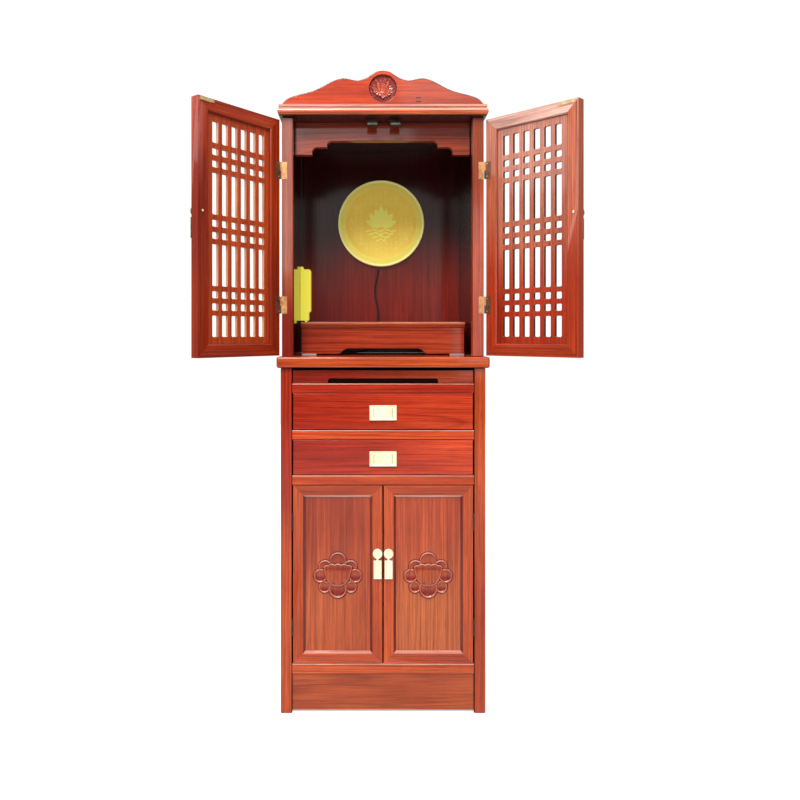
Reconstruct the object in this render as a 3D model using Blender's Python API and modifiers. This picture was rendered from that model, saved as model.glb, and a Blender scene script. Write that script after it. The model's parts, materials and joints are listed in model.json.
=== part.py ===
"""A household altar cabinet of red lacquered wood, standing open: a cupboard with two carved doors, two
drawers and a pull-out tray below, and above them a shrine behind two lattice doors, with a low stand, a
round lamp on its back wall, a stepped header and a roof with a carved crest.

Metres, +Z up, the front faces -Y. The origin is on the floor, on the cabinet's middle plane."""

import math

import bmesh
import bpy
from mathutils import Matrix, Vector

# Overall sizes
CASE_WIDTH = 0.540
CASE_DEPTH = 0.430
TOP_OVERHANG = 0.010
FRONT_TO_ORIGIN = 0.127
LOWER_SETBACK = 0.012
UPPER_SETBACK = 0.040
GLUE_GAP = 0.0003
CUT_SLACK = 0.002

# The case
POST_WIDTH = 0.030
POST_DEPTH = 0.030
SIDE_THICKNESS = 0.018
BACK_THICKNESS = 0.012
SHELF_THICKNESS = 0.024
FLOOR_THICKNESS = 0.025
SHELF_RECESS = 0.001
PLINTH_CLEARANCE = 0.007
PLINTH_HEIGHT = 0.098
PLINTH_THICKNESS = 0.015
PLINTH_RECESS = 0.005
CUPBOARD_HEIGHT = 0.4725
LOWER_DRAWER_SPACE = 0.0955
UPPER_DRAWER_SPACE = 0.099
TRAY_SPACE = 0.042
TOP_THICKNESS = 0.029
SHRINE_HEIGHT = 0.640
ROOF_THICKNESS = 0.030
ROOF_SETBACK = 0.020
ROOF_BEAD_DEPTH = 0.009
ROOF_FILLET_HEIGHT = 0.007
ROOF_FILLET_SETBACK = 0.003
TOP_ROUNDING = 0.005

# Drawers and tray
FRONT_THICKNESS = 0.020
FRONT_SIDE_GAP = 0.002
FRONT_EDGE_GAP = 0.0015
FRONT_RECESS = 0.001
BOX_SIDE_GAP = 0.004
BOX_REAR_GAP = 0.018
BOX_TOP_GAP = 0.012
BOX_WALL = 0.010
RUN_GAP = 0.0005
TRAY_FRONT_HEIGHT = 0.0345
TRAY_BOARD = 0.012
TRAY_RUNNER = 0.014
GRIP_WIDTH = 0.290
GRIP_HEIGHT = 0.0125
GRIP_DEPTH = 0.012
GRIP_CORNER = 0.006
DRAWER_PULL_SIZE = (0.0712, 0.0393)
DRAWER_PULL_THICKNESS = 0.0025
DRAWER_PULL_RAISED = (0.043, 0.0015)
DRAWER_PULL_DROP = 0.003

# Cupboard doors
DOOR_THICKNESS = 0.020
DOOR_HINGE_GAP = 0.003
DOOR_MEETING_GAP = 0.004
DOOR_EDGE_GAP = 0.0015
DOOR_MEMBER = 0.032
DOOR_MOULDING = 0.006
PANEL_RECESS = 0.0065
PANEL_THICKNESS = 0.008
KNUCKLE_RADIUS = 0.0022
KNUCKLE_HEIGHT = 0.045
KNUCKLE_INSET = 0.096
KNUCKLE_FORWARD = 0.0022

# Lattice doors
LEFT_OPEN_DEG = 129.2
RIGHT_OPEN_DEG = 135.5
LATTICE_DOOR_THICKNESS = 0.025
LATTICE_DOOR_FLOOR_GAP = 0.0025
LATTICE_DOOR_ROOF_GAP = 0.008
LATTICE_DOOR_MEETING_GAP = 0.002
LATTICE_FRAME = 0.032
LATTICE_FRAME_MOULDING = 0.0025
LATTICE_RECESS = 0.007
LATTICE_BOARD = 0.008
SLOT_COLUMNS = 6
SLOT_WIDTH = 0.018
SLOT_HEIGHTS = {"end": 0.0525, "small": 0.0175, "tall": 0.103}
SLOT_ROWS = ("end", "small", "small", "tall", "small", "small", "tall", "small", "small", "end")
SLOT_BAR = 0.0125
SLOT_CORNER = 0.0022
HINGE_AXIS_OUT = 0.003
HINGE_HEIGHT = 0.046
HINGE_INSET = 0.135
HINGE_LEAF_WIDTH = 0.014
HINGE_LEAF_THICKNESS = 0.0009
HINGE_LEAF_GAP = 0.0002
HINGE_BARREL_RADIUS = 0.0025

# Catches and strike plates
CATCH_FROM_MIDDLE = 0.031
CATCHES_OFF_MIDDLE = 0.003
CATCH_PLATE_SETBACK = 0.0175
CATCH_PLATE_SIZE = (0.038, 0.022, 0.003)
CATCH_WEB_WIDTH = 0.024
CATCH_WEB_THICKNESS = 0.008
CATCH_MAGNET_WIDTH = 0.027
CATCH_MAGNET_HEIGHT = 0.0055
CATCH_DROP = 0.020
STRIKE_SIZE = (0.044, 0.001, 0.009)
STRIKE_FROM_TOP = 0.001

# Door pulls: a round rose with a hanging plate
ROSE_RADIUS = 0.0133
ROSE_THICKNESS = 0.003
ROSE_FROM_EDGE = 0.0125
DROP_SIZE = (0.021, 0.003, 0.0505)
DROP_STANDOFF = 0.003
NECK_SIZE = (0.005, 0.0055, 0.012)
LOWER_ROSE_ABOVE_MIDDLE = 0.0544
UPPER_ROSE_ABOVE_MIDDLE = 0.0397

# Header and crest
HEADER_SETBACK = 0.048
HEADER_THICKNESS = 0.020
HEADER_STEPS = ((0.1510, 0.051), (0.1920, 0.068), (0.240, 0.089))
HEADER_COVE = 0.012
CREST_SETBACK = 0.030
CREST_THICKNESS = 0.020
CREST_HEIGHT = 0.091
# The crest's edge as shares of half its width and of its height, from the middle to the end
CREST_KNOTS = (
    (0.000, 1.000), (0.045, 0.985), (0.083, 0.942), (0.160, 0.793), (0.248, 0.712), (0.326, 0.751),
    (0.400, 0.778), (0.493, 0.700), (0.581, 0.560), (0.689, 0.407), (0.807, 0.316), (0.896, 0.240),
    (0.952, 0.158), (1.000, 0.000),
)
MEDALLION_RADIUS = 0.0352
MEDALLION_FROM_TOP = 0.047
MEDALLION_DEPTH = 0.006
MEDALLION_RELIEF = 0.0052

# The lotus carved on the doors, as round petals on its right half: middle x, middle z and radius
LOTUS_PETALS = (
    (0.000, 0.0390, 0.0225), (0.0335, 0.0210, 0.0180), (0.0460, -0.0025, 0.0182),
    (0.0355, -0.0320, 0.0150), (0.000, -0.0370, 0.0242),
)
LOTUS_BOWL = (0.000, 0.0040, 0.0350, 0.0265)
LOTUS_RELIEF = 0.0045
LOTUS_LOWERED = 0.003

# The stand in the shrine
STAND_WIDTH = 0.464
STAND_DEPTH = 0.240
STAND_HEIGHT = 0.094
STAND_FROM_FRONT = 0.150
STAND_OFF_MIDDLE = 0.003
STAND_TOP_THICKNESS = 0.016
STAND_TOP_CHAMFER = 0.010
STAND_OVERHANG = 0.012
STAND_END_OVERHANG = 0.0012
STAND_WALL = 0.015
STAND_TOE = 0.0035
STAND_NOTCH = (0.246, 0.204, 0.0150)
STAND_PAD_LENGTH = 0.042

# The lamp and its driver
LAMP_RADIUS = 0.1364
LAMP_THICKNESS = 0.015
LAMP_ABOVE_TOP = 0.4107
LAMP_OFF_MIDDLE = 0.003
LAMP_RIM = 0.0042
LAMP_FIELD_SHARE = 0.817
LAMP_GLAND_PLACE = (-0.0056, 0.0067)
DRIVER_SIZE = (0.0314, 0.034, 0.135)
DRIVER_ABOVE_TOP = 0.1279
DRIVER_WALL_GAP = 0.001
DRIVER_FOOT = (0.0253, 0.0255)
DRIVER_CORNER = 0.0035
DRIVER_NUB = (0.0074, 0.0085)
DRIVER_GLAND_FROM_BACK = 0.0147
GLAND_RADIUS = 0.0045
GLAND_TIP_RADIUS = 0.0032
GLAND_LENGTH = 0.0112
GLAND_SUNK = 0.0022
CORD_DIAMETER = 0.0045

# Colours: base colour, roughness and metallic value
FINISHES = {
    "red lacquered wood": ((0.42, 0.055, 0.022), 0.28, 0.0),
    "dark lacquered wood": ((0.11, 0.014, 0.010), 0.20, 0.0),
    "brass": ((0.80, 0.66, 0.36), 0.32, 1.0),
    "bronzed steel": ((0.035, 0.028, 0.022), 0.45, 1.0),
    "gilt plastic": ((0.70, 0.50, 0.09), 0.35, 0.2),
    "yellow plastic": ((0.78, 0.60, 0.02), 0.40, 0.0),
    "black plastic": ((0.012, 0.010, 0.010), 0.50, 0.0),
}

# Places that follow from the sizes
FRONT_Y = -FRONT_TO_ORIGIN
BACK_Y = FRONT_Y + CASE_DEPTH
LOWER_Y = FRONT_Y + LOWER_SETBACK
UPPER_Y = FRONT_Y + UPPER_SETBACK
PANEL_Y = BACK_Y - BACK_THICKNESS
HALF_CASE = CASE_WIDTH / 2
HALF_OPENING = HALF_CASE - POST_WIDTH
HALF_INSIDE = HALF_CASE - SIDE_THICKNESS
FLOOR_Z = PLINTH_CLEARANCE + PLINTH_HEIGHT
CUPBOARD_Z = FLOOR_Z + FLOOR_THICKNESS
SHELF_1_Z = CUPBOARD_Z + CUPBOARD_HEIGHT
DRAWER_1_Z = SHELF_1_Z + SHELF_THICKNESS
SHELF_2_Z = DRAWER_1_Z + LOWER_DRAWER_SPACE
DRAWER_2_Z = SHELF_2_Z + SHELF_THICKNESS
SHELF_3_Z = DRAWER_2_Z + UPPER_DRAWER_SPACE
TRAY_Z = SHELF_3_Z + SHELF_THICKNESS
TOP_UNDERSIDE_Z = TRAY_Z + TRAY_SPACE
TOP_Z = TOP_UNDERSIDE_Z + TOP_THICKNESS
ROOF_UNDERSIDE_Z = TOP_Z + SHRINE_HEIGHT
ROOF_Z = ROOF_UNDERSIDE_Z + ROOF_THICKNESS


# Scene and helpers
def clear_scene():
    for obj in list(bpy.data.objects):
        bpy.data.objects.remove(obj, do_unlink=True)


def new_collection(name):
    collection = bpy.data.collections.new(name)
    bpy.context.scene.collection.children.link(collection)
    return collection


def finish(name):
    """The Principled material of that name, made the first time it is asked for."""
    if name in bpy.data.materials:
        return bpy.data.materials[name]
    colour, roughness, metallic = FINISHES[name]
    material = bpy.data.materials.new(name)
    material.use_nodes = True
    shader = material.node_tree.nodes["Principled BSDF"]
    shader.inputs["Base Color"].default_value = (*colour, 1.0)
    shader.inputs["Roughness"].default_value = roughness
    shader.inputs["Metallic"].default_value = metallic
    return material


def place(name, mesh, material, location=(0, 0, 0), parent=None, collection=None):
    """Links the mesh as a named piece with its own copy of the finish."""
    obj = bpy.data.objects.new(name, mesh)
    (collection or parts).objects.link(obj)
    obj.location = location
    obj.parent = parent
    if material:
        own = finish(material).copy()
        own.name = f"{material} of {name}"
        mesh.materials.append(own)
    return obj


def pivot(name, location, turn_deg=0.0):
    """An empty on a joint's axis, which carries the pieces that move with the joint."""
    empty = bpy.data.objects.new(name, None)
    parts.objects.link(empty)
    empty.location = location
    empty.rotation_euler = (0, 0, math.radians(turn_deg))
    return empty


def mesh_from(name, bm):
    bmesh.ops.recalc_face_normals(bm, faces=bm.faces)
    if bm.calc_volume(signed=True) < 0:
        bmesh.ops.reverse_faces(bm, faces=bm.faces)
    mesh = bpy.data.meshes.new(name)
    bm.to_mesh(mesh)
    bm.free()
    return mesh


def board(name, low, high, material, rounding=0.0, segments=1, parent=None):
    """A board between two corners, with its edges rounded when a rounding is given."""
    low, high = Vector(low), Vector(high)
    middle = (low + high) / 2
    bm = bmesh.new()
    bmesh.ops.create_cube(bm, size=1.0, matrix=Matrix.Diagonal((*(high - low), 1.0)))
    obj = place(name, mesh_from(name, bm), material, middle, parent)
    if rounding:
        bevel = obj.modifiers.new("Rounded edges", "BEVEL")
        bevel.width = rounding
        bevel.segments = segments
    return obj


def flat_shape(name, outlines, low, high, material, upright=True, location=(0, 0, 0), parent=None):
    """A flat outline with its holes, given thickness from low to high: along Y if upright, else along Z."""
    curve = bpy.data.curves.new(name, "CURVE")
    curve.dimensions = "2D"
    curve.fill_mode = "BOTH"
    curve.extrude = (high - low) / 2
    for outline in outlines:
        spline = curve.splines.new("POLY")
        spline.points.add(len(outline) - 1)
        for point, (a, b) in zip(spline.points, outline):
            point.co = (a, b, 0, 1)
        spline.use_cyclic_u = True
    guide = bpy.data.objects.new(name + " outline", curve)
    parts.objects.link(guide)
    graph = bpy.context.evaluated_depsgraph_get()
    mesh = bpy.data.meshes.new_from_object(guide.evaluated_get(graph))
    bpy.data.objects.remove(guide, do_unlink=True)
    middle = (low + high) / 2
    if upright:
        mesh.transform(Matrix.Translation((0, middle, 0)) @ Matrix.Rotation(math.pi / 2, 4, "X"))
    else:
        mesh.transform(Matrix.Translation((0, 0, middle)))
    bm = bmesh.new()
    bm.from_mesh(mesh)
    bpy.data.meshes.remove(mesh)
    bmesh.ops.remove_doubles(bm, verts=bm.verts, dist=1e-5)
    return place(name, mesh_from(name, bm), material, location, parent)


def helper_of(obj):
    """Turns a piece into a hidden helper for a Boolean."""
    parts.objects.unlink(obj)
    cutters.objects.link(obj)
    obj.hide_render = True
    obj.display_type = "WIRE"
    return obj


def combine(obj, other, operation):
    modifier = obj.modifiers.new(operation.capitalize(), "BOOLEAN")
    modifier.operation = operation
    modifier.object = helper_of(other)
    return obj


def shade_round(obj, sharp_deg=35.0):
    obj.data.shade_smooth()
    obj.data.set_sharp_from_angle(angle=math.radians(sharp_deg))
    return obj


def cylinder(name, radius, low_z, high_z, middle, material, sides=12, tip_radius=None, parent=None):
    """An upright cylinder, or a cone where a tip radius is given for its upper end."""
    bm = bmesh.new()
    bmesh.ops.create_cone(
        bm, cap_ends=True, segments=sides, radius1=radius,
        radius2=radius if tip_radius is None else tip_radius, depth=high_z - low_z,
    )
    location = (middle[0], middle[1], (low_z + high_z) / 2)
    return place(name, mesh_from(name, bm), material, location, parent)


def rectangle(left, right, bottom, top, corner=0.0):
    """An outline, its corners cut off by the given length."""
    if not corner:
        return [(left, bottom), (right, bottom), (right, top), (left, top)]
    return [
        (left + corner, bottom), (right - corner, bottom), (right, bottom + corner),
        (right, top - corner), (right - corner, top), (left + corner, top),
        (left, top - corner), (left, bottom + corner),
    ]


def arc(middle_x, middle_z, radius, start_deg, end_deg, steps):
    points = []
    for step in range(steps + 1):
        angle = math.radians(start_deg + (end_deg - start_deg) * step / steps)
        points.append((middle_x + radius * math.cos(angle), middle_z + radius * math.sin(angle)))
    return points


def mirrored_outline(half):
    """Closes a right-hand half, which runs from the middle plane back to it, with its mirror image."""
    return half + [(-x, z) for x, z in reversed(half) if x > 1e-9]


def smooth_curve(knots, steps):
    """Points on a Catmull-Rom curve through the knots."""
    knots = [Vector(k) for k in knots]
    ends = [2 * knots[0] - knots[1]] + knots + [2 * knots[-1] - knots[-2]]
    points = []
    for a, b, c, d in zip(ends, ends[1:], ends[2:], ends[3:]):
        for step in range(steps):
            t = step / steps
            points.append(
                0.5 * (2 * b + (c - a) * t + (2 * a - 5 * b + 4 * c - d) * t**2
                       + (3 * b - a - 3 * c + d) * t**3)
            )
    return points + [knots[-1]]


def window_frame(name, low, high, member, moulding, material, parent=None, face=-1):
    """A frame of equal members round a window, whose inner edge slopes by the moulding's width on one
    face: face is -1 for the front and 1 for the back."""
    frame = board(name, low, high, material, parent=parent)
    low, high = Vector(low), Vector(high)
    inner = Vector((member, 0, member))
    slack = 0.001
    size = high - low - 2 * inner
    bm = bmesh.new()
    bmesh.ops.create_cube(bm, size=1.0, matrix=Matrix.Diagonal((size.x, size.y - moulding, size.z, 1.0)))
    bmesh.ops.translate(bm, verts=bm.verts, vec=(0, moulding / 2, 0))
    rear = max(bm.faces, key=lambda f: f.calc_center_median().y)
    bmesh.ops.translate(bm, verts=rear.verts, vec=(0, slack, 0))
    front = min(bm.faces, key=lambda f: f.calc_center_median().y)
    grown = bmesh.ops.extrude_face_region(bm, geom=[front])["geom"]
    flare = moulding + slack
    for corner in (v for v in grown if isinstance(v, bmesh.types.BMVert)):
        corner.co += Vector((math.copysign(flare, corner.co.x), -flare, math.copysign(flare, corner.co.z)))
    bmesh.ops.delete(bm, geom=[front], context="FACES_ONLY")
    bmesh.ops.scale(bm, verts=bm.verts, vec=(1, -face, 1))
    window = place(name + " window", mesh_from(name, bm), None, (low + high) / 2, parent)
    return combine(frame, window, "DIFFERENCE")


# Carving
def lotus_petals():
    """Both halves of the lotus's round petals."""
    right = [petal for petal in LOTUS_PETALS]
    return right + [(-x, z, r) for x, z, r in right if x]


def lotus_rim(angle):
    """How far the lotus reaches from its middle in a direction."""
    direction = Vector((math.cos(angle), math.sin(angle)))
    reach = 0.0
    for x, z, radius in lotus_petals():
        along = direction.dot((x, z))
        inside = radius**2 - (x * x + z * z) + along**2
        if inside > 0:
            reach = max(reach, along + math.sqrt(inside))
    return reach


def rounded(share):
    """The height of a quarter round, for a share of its width from its edge."""
    share = min(max(share, 0.0), 1.0)
    return math.sqrt(1 - (1 - share) ** 2)


def lotus_height(x, z):
    """The carving's height: round petals at the back and a bowl in front of them."""
    petals = max(rounded((r - math.hypot(x - a, z - b)) / (0.55 * r)) for a, b, r in lotus_petals())
    bowl_x, bowl_z, half_width, half_height = LOTUS_BOWL
    from_middle = math.hypot((x - bowl_x) / half_width, (z - bowl_z) / half_height)
    bowl = rounded((1 - from_middle) / 0.45)
    return LOTUS_RELIEF * (0.55 * petals + 0.45 * bowl)


def medallion_height(share, angle):
    """The crest's lotus: pointed petals round a bud, for a share of the medallion's radius."""
    turn = angle / math.tau * 10 % 1.0
    point = 1 - abs(2 * turn - 1)
    petal_end = 0.62 + 0.30 * point
    petal = rounded((petal_end - share) / 0.35) * (0.45 + 0.55 * point)
    bud = rounded((0.38 - share) / 0.38)
    return 0.55 * petal + 0.45 * bud


def relief_disc(spokes, rings, back, rim, height):
    """A round solid facing -Y: its rim and its front are functions of direction and place."""
    bm = bmesh.new()
    profile = [(ring / rings, 0.0) for ring in range(rings + 1)] + [(1.0, 1.0), (0.0, 1.0)]
    verts = [bm.verts.new((radius, depth, 0)) for radius, depth in profile]
    edges = [bm.edges.new(pair) for pair in zip(verts, verts[1:])]
    bmesh.ops.spin(
        bm, geom=verts + edges, axis=(0, 1, 0), cent=(0, 0, 0), angle=math.tau, steps=spokes,
        use_merge=True,
    )
    bmesh.ops.remove_doubles(bm, verts=bm.verts, dist=1e-5)
    for vert in bm.verts:
        share = math.hypot(vert.co.x, vert.co.z)
        angle = math.atan2(vert.co.z, vert.co.x)
        reach = rim(angle)
        in_front = vert.co.y < 0.5
        vert.co.x *= reach
        vert.co.z *= reach
        vert.co.y = -height(vert.co.x, vert.co.z, share, angle) if in_front else back
    return bm


# The case
def add_shelf(name, low_z, thickness):
    """A board across the case, notched round the front posts."""
    front, behind_post, back = LOWER_Y + SHELF_RECESS, LOWER_Y + POST_DEPTH + GLUE_GAP, PANEL_Y - GLUE_GAP
    narrow, wide = HALF_OPENING - GLUE_GAP, HALF_INSIDE - GLUE_GAP
    outline = [
        (-narrow, front), (narrow, front), (narrow, behind_post), (wide, behind_post),
        (wide, back), (-wide, back), (-wide, behind_post), (-narrow, behind_post),
    ]
    flat_shape(name, [outline], low_z, low_z + thickness, "red lacquered wood", upright=False)


def add_case():
    for side, word in ((-1, "left"), (1, "right")):
        outer, post_inner, side_inner = side * HALF_CASE, side * HALF_OPENING, side * HALF_INSIDE
        levels = (
            ("post", "side_lower", LOWER_Y, 0.0, TOP_UNDERSIDE_Z - GLUE_GAP),
            ("stile", "side_upper", UPPER_Y, TOP_Z + GLUE_GAP, ROOF_UNDERSIDE_Z - GLUE_GAP),
        )
        for upright, panel, front, low, high in levels:
            behind = front + POST_DEPTH
            board(
                f"{upright}_{word}", (min(outer, post_inner), front, low),
                (max(outer, post_inner), behind, high), "red lacquered wood", 0.0015,
            )
            board(
                f"{panel}_{word}", (min(outer, side_inner), behind + GLUE_GAP, low),
                (max(outer, side_inner), BACK_Y, high), "red lacquered wood",
            )
    back_half = HALF_INSIDE - GLUE_GAP
    board(
        "back_lower", (-back_half, PANEL_Y, FLOOR_Z),
        (back_half, BACK_Y, TOP_UNDERSIDE_Z - GLUE_GAP), "red lacquered wood",
    )
    board(
        "back_upper", (-back_half, PANEL_Y, TOP_Z + GLUE_GAP),
        (back_half, BACK_Y, ROOF_UNDERSIDE_Z - GLUE_GAP), "dark lacquered wood",
    )
    plinth_half = HALF_OPENING - GLUE_GAP
    board(
        "plinth", (-plinth_half, LOWER_Y + PLINTH_RECESS, PLINTH_CLEARANCE),
        (plinth_half, LOWER_Y + PLINTH_RECESS + PLINTH_THICKNESS, FLOOR_Z - GLUE_GAP),
        "red lacquered wood",
    )
    add_shelf("cupboard_floor", FLOOR_Z, FLOOR_THICKNESS)
    add_shelf("shelf_above_cupboard", SHELF_1_Z, SHELF_THICKNESS)
    add_shelf("shelf_between_drawers", SHELF_2_Z, SHELF_THICKNESS)
    add_shelf("shelf_under_tray", SHELF_3_Z, SHELF_THICKNESS)
    half_top = HALF_CASE + TOP_OVERHANG
    board(
        "table_top", (-half_top, FRONT_Y, TOP_UNDERSIDE_Z), (half_top, BACK_Y, TOP_Z),
        "red lacquered wood", TOP_ROUNDING, 2,
    )
    add_roof(half_top)


def add_roof(half_width):
    """The roof: its front and ends have a half-round bead under a narrow fillet."""
    bead_radius = (ROOF_THICKNESS - ROOF_FILLET_HEIGHT) / 2
    steps = []
    for step in range(9):
        turn = math.radians(-90 + 20 * step)
        steps.append((bead_radius * (1 + math.sin(turn)), ROOF_BEAD_DEPTH * (1 - math.cos(turn))))
    steps.append((ROOF_THICKNESS - ROOF_FILLET_HEIGHT, steps[-1][1]))
    steps.append((ROOF_THICKNESS - ROOF_FILLET_HEIGHT, ROOF_FILLET_SETBACK))
    steps.append((ROOF_THICKNESS, ROOF_FILLET_SETBACK))
    front = FRONT_Y + ROOF_SETBACK
    bm = bmesh.new()
    rings = []
    for height, setback in steps:
        side = half_width - setback
        corners = [(-side, front + setback), (side, front + setback), (side, BACK_Y), (-side, BACK_Y)]
        rings.append([bm.verts.new((x, y, ROOF_UNDERSIDE_Z + height)) for x, y in corners])
    bm.faces.new(rings[0])
    bm.faces.new(rings[-1])
    for below, above in zip(rings, rings[1:]):
        for i in range(4):
            after = (i + 1) % 4
            bm.faces.new((below[i], below[after], above[after], above[i]))
    place("roof", mesh_from("roof", bm), "red lacquered wood")


def add_header():
    """The stepped board under the roof, with a cove in each inner corner of its lower edge."""
    top = ROOF_UNDERSIDE_Z - GLUE_GAP
    half = [(0.0, top - HEADER_STEPS[0][1])]
    for (step_x, drop), (_, next_drop) in zip(HEADER_STEPS, HEADER_STEPS[1:]):
        cove = min(HEADER_COVE, next_drop - drop)
        half += arc(step_x - cove, top - drop - cove, cove, 90, 0, 4)
        half.append((step_x, top - next_drop))
    end = HALF_OPENING - GLUE_GAP
    half += [(end, top - HEADER_STEPS[-1][1]), (end, top), (0.0, top)]
    front = UPPER_Y + HEADER_SETBACK
    outline = half + [(-x, z) for x, z in reversed(half) if x]
    flat_shape("header", [outline], front, front + HEADER_THICKNESS, "red lacquered wood")


def add_crest():
    """The wavy board on the roof, with a sunk medallion that holds a carved lotus."""
    base = ROOF_Z + GLUE_GAP
    knots = [(x * HALF_CASE, z * CREST_HEIGHT) for x, z in CREST_KNOTS]
    edge = [tuple(point) for point in smooth_curve(knots, 2)]
    outline = mirrored_outline([(x, base + z) for x, z in edge])
    front = FRONT_Y + CREST_SETBACK
    crest = flat_shape("crest", [outline], front, front + CREST_THICKNESS, "red lacquered wood")
    recess = relief_disc(
        32, 6, MEDALLION_DEPTH + CUT_SLACK, lambda angle: MEDALLION_RADIUS,
        lambda x, z, share, angle: MEDALLION_RELIEF * medallion_height(share, angle) if share < 0.99 else 0,
    )
    for vert in recess.verts:
        vert.co.y = MEDALLION_DEPTH + vert.co.y if vert.co.y <= 0 else -CUT_SLACK
    middle = (0, front, base + CREST_HEIGHT - MEDALLION_FROM_TOP)
    cutter = place("medallion recess", mesh_from("medallion recess", recess), None, middle)
    combine(crest, cutter, "DIFFERENCE")


# Drawers and tray
def add_drawer(word, low_z, space):
    half = HALF_OPENING - FRONT_SIDE_GAP
    front = LOWER_Y + FRONT_RECESS
    bottom, top = low_z + FRONT_EDGE_GAP, low_z + space - FRONT_EDGE_GAP
    slide = pivot(f"{word} drawer slide", (0, front, 0))
    board(
        f"drawer_{word}_front", (-half, 0, bottom), (half, FRONT_THICKNESS, top),
        "red lacquered wood", 0.0015, parent=slide,
    )
    box_half = HALF_OPENING - BOX_SIDE_GAP
    box_low = Vector((-box_half, FRONT_THICKNESS + GLUE_GAP, low_z + RUN_GAP))
    box_high = Vector((box_half, PANEL_Y - BOX_REAR_GAP - front, low_z + space - BOX_TOP_GAP))
    bm = bmesh.new()
    bmesh.ops.create_cube(bm, size=1.0, matrix=Matrix.Diagonal((*(box_high - box_low), 1.0)))
    lid = max(bm.faces, key=lambda f: f.calc_center_median().z)
    bmesh.ops.delete(bm, geom=[lid], context="FACES_ONLY")
    box = place(
        f"drawer_{word}_box", mesh_from("drawer box", bm), "red lacquered wood",
        (box_low + box_high) / 2, slide,
    )
    wall = box.modifiers.new("Wall", "SOLIDIFY")
    wall.thickness = BOX_WALL
    wall.offset = -1
    width, height = DRAWER_PULL_SIZE
    raised_width, raised = DRAWER_PULL_RAISED
    bm = bmesh.new()
    size = (width, DRAWER_PULL_THICKNESS, height)
    bmesh.ops.create_cube(bm, size=1.0, matrix=Matrix.Diagonal((*size, 1.0)))
    face = min(bm.faces, key=lambda f: f.calc_center_median().y)
    bmesh.ops.inset_region(bm, faces=[face], thickness=0.003)
    for vert in face.verts:
        vert.co.x = math.copysign(raised_width / 2, vert.co.x)
    bmesh.ops.translate(bm, verts=face.verts, vec=(0, -raised, 0))
    middle_z = (bottom + top) / 2 - DRAWER_PULL_DROP
    location = (0, -GLUE_GAP - DRAWER_PULL_THICKNESS / 2, middle_z)
    place(f"drawer_{word}_pull", mesh_from("drawer pull", bm), "brass", location, slide)


def add_tray():
    """The pull-out tray: a front strip with a finger notch, and a board on two runners."""
    front = LOWER_Y + FRONT_RECESS
    slide = pivot("tray slide", (0, front, 0))
    half = HALF_OPENING - FRONT_SIDE_GAP
    bottom = TRAY_Z + FRONT_EDGE_GAP
    top = bottom + TRAY_FRONT_HEIGHT
    grip, grip_top = GRIP_WIDTH / 2, bottom + GRIP_HEIGHT
    tray_front = board(
        "tray_front", (-half, 0, bottom), (half, FRONT_THICKNESS, top), "red lacquered wood", parent=slide
    )
    half_notch = [(0, grip_top), *arc(grip - GRIP_CORNER, grip_top - GRIP_CORNER, GRIP_CORNER, 90, 0, 3)]
    half_notch += [(grip, bottom - CUT_SLACK), (0, bottom - CUT_SLACK)]
    outline = half_notch + [(-x, z) for x, z in reversed(half_notch) if x]
    notch = flat_shape("tray notch", [outline], -CUT_SLACK, GRIP_DEPTH, None, parent=slide)
    combine(tray_front, notch, "DIFFERENCE")
    box_half = HALF_OPENING - BOX_SIDE_GAP
    runner = box_half - TRAY_RUNNER
    low, underside = TRAY_Z + RUN_GAP, top - TRAY_BOARD
    section = [
        (-box_half, low), (-runner, low), (-runner, underside), (runner, underside),
        (runner, low), (box_half, low), (box_half, top), (-box_half, top),
    ]
    rear = PANEL_Y - BOX_REAR_GAP - front
    flat_shape(
        "tray_board", [section], FRONT_THICKNESS + GLUE_GAP, rear, "red lacquered wood", parent=slide
    )


# Doors
def add_pull(name, rose_x, rose_z, face_y, outward, parent):
    """A round rose on a door face, with a plate that hangs from its neck. outward is -1 towards -Y."""
    bm = bmesh.new()
    lying = Matrix.Rotation(math.pi / 2, 4, "X")
    bmesh.ops.create_cone(
        bm, cap_ends=True, segments=20, radius1=ROSE_RADIUS, radius2=ROSE_RADIUS, depth=ROSE_THICKNESS,
        matrix=lying,
    )
    base = face_y + outward * GLUE_GAP
    rose_y = base + outward * ROSE_THICKNESS / 2
    rose = place(name, mesh_from(name, bm), "brass", (rose_x, rose_y, rose_z), parent)
    neck_width, neck_out, neck_drop = NECK_SIZE
    drop_top = rose_z - ROSE_RADIUS - 0.001
    neck_low = drop_top - 0.004
    neck_y = sorted((base + outward * 0.0005, base + outward * neck_out))
    neck = board(
        name + " neck", (rose_x - neck_width / 2, neck_y[0], neck_low),
        (rose_x + neck_width / 2, neck_y[1], neck_low + neck_drop), None, parent=parent,
    )
    combine(rose, neck, "UNION")
    drop_width, drop_thickness, drop_height = DROP_SIZE
    drop_y = sorted((base + outward * DROP_STANDOFF, base + outward * (DROP_STANDOFF + drop_thickness)))
    drop = board(
        name + " drop", (rose_x - drop_width / 2, drop_y[0], drop_top - drop_height),
        (rose_x + drop_width / 2, drop_y[1], drop_top), None, parent=parent,
    )
    return combine(rose, drop, "UNION")


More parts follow.
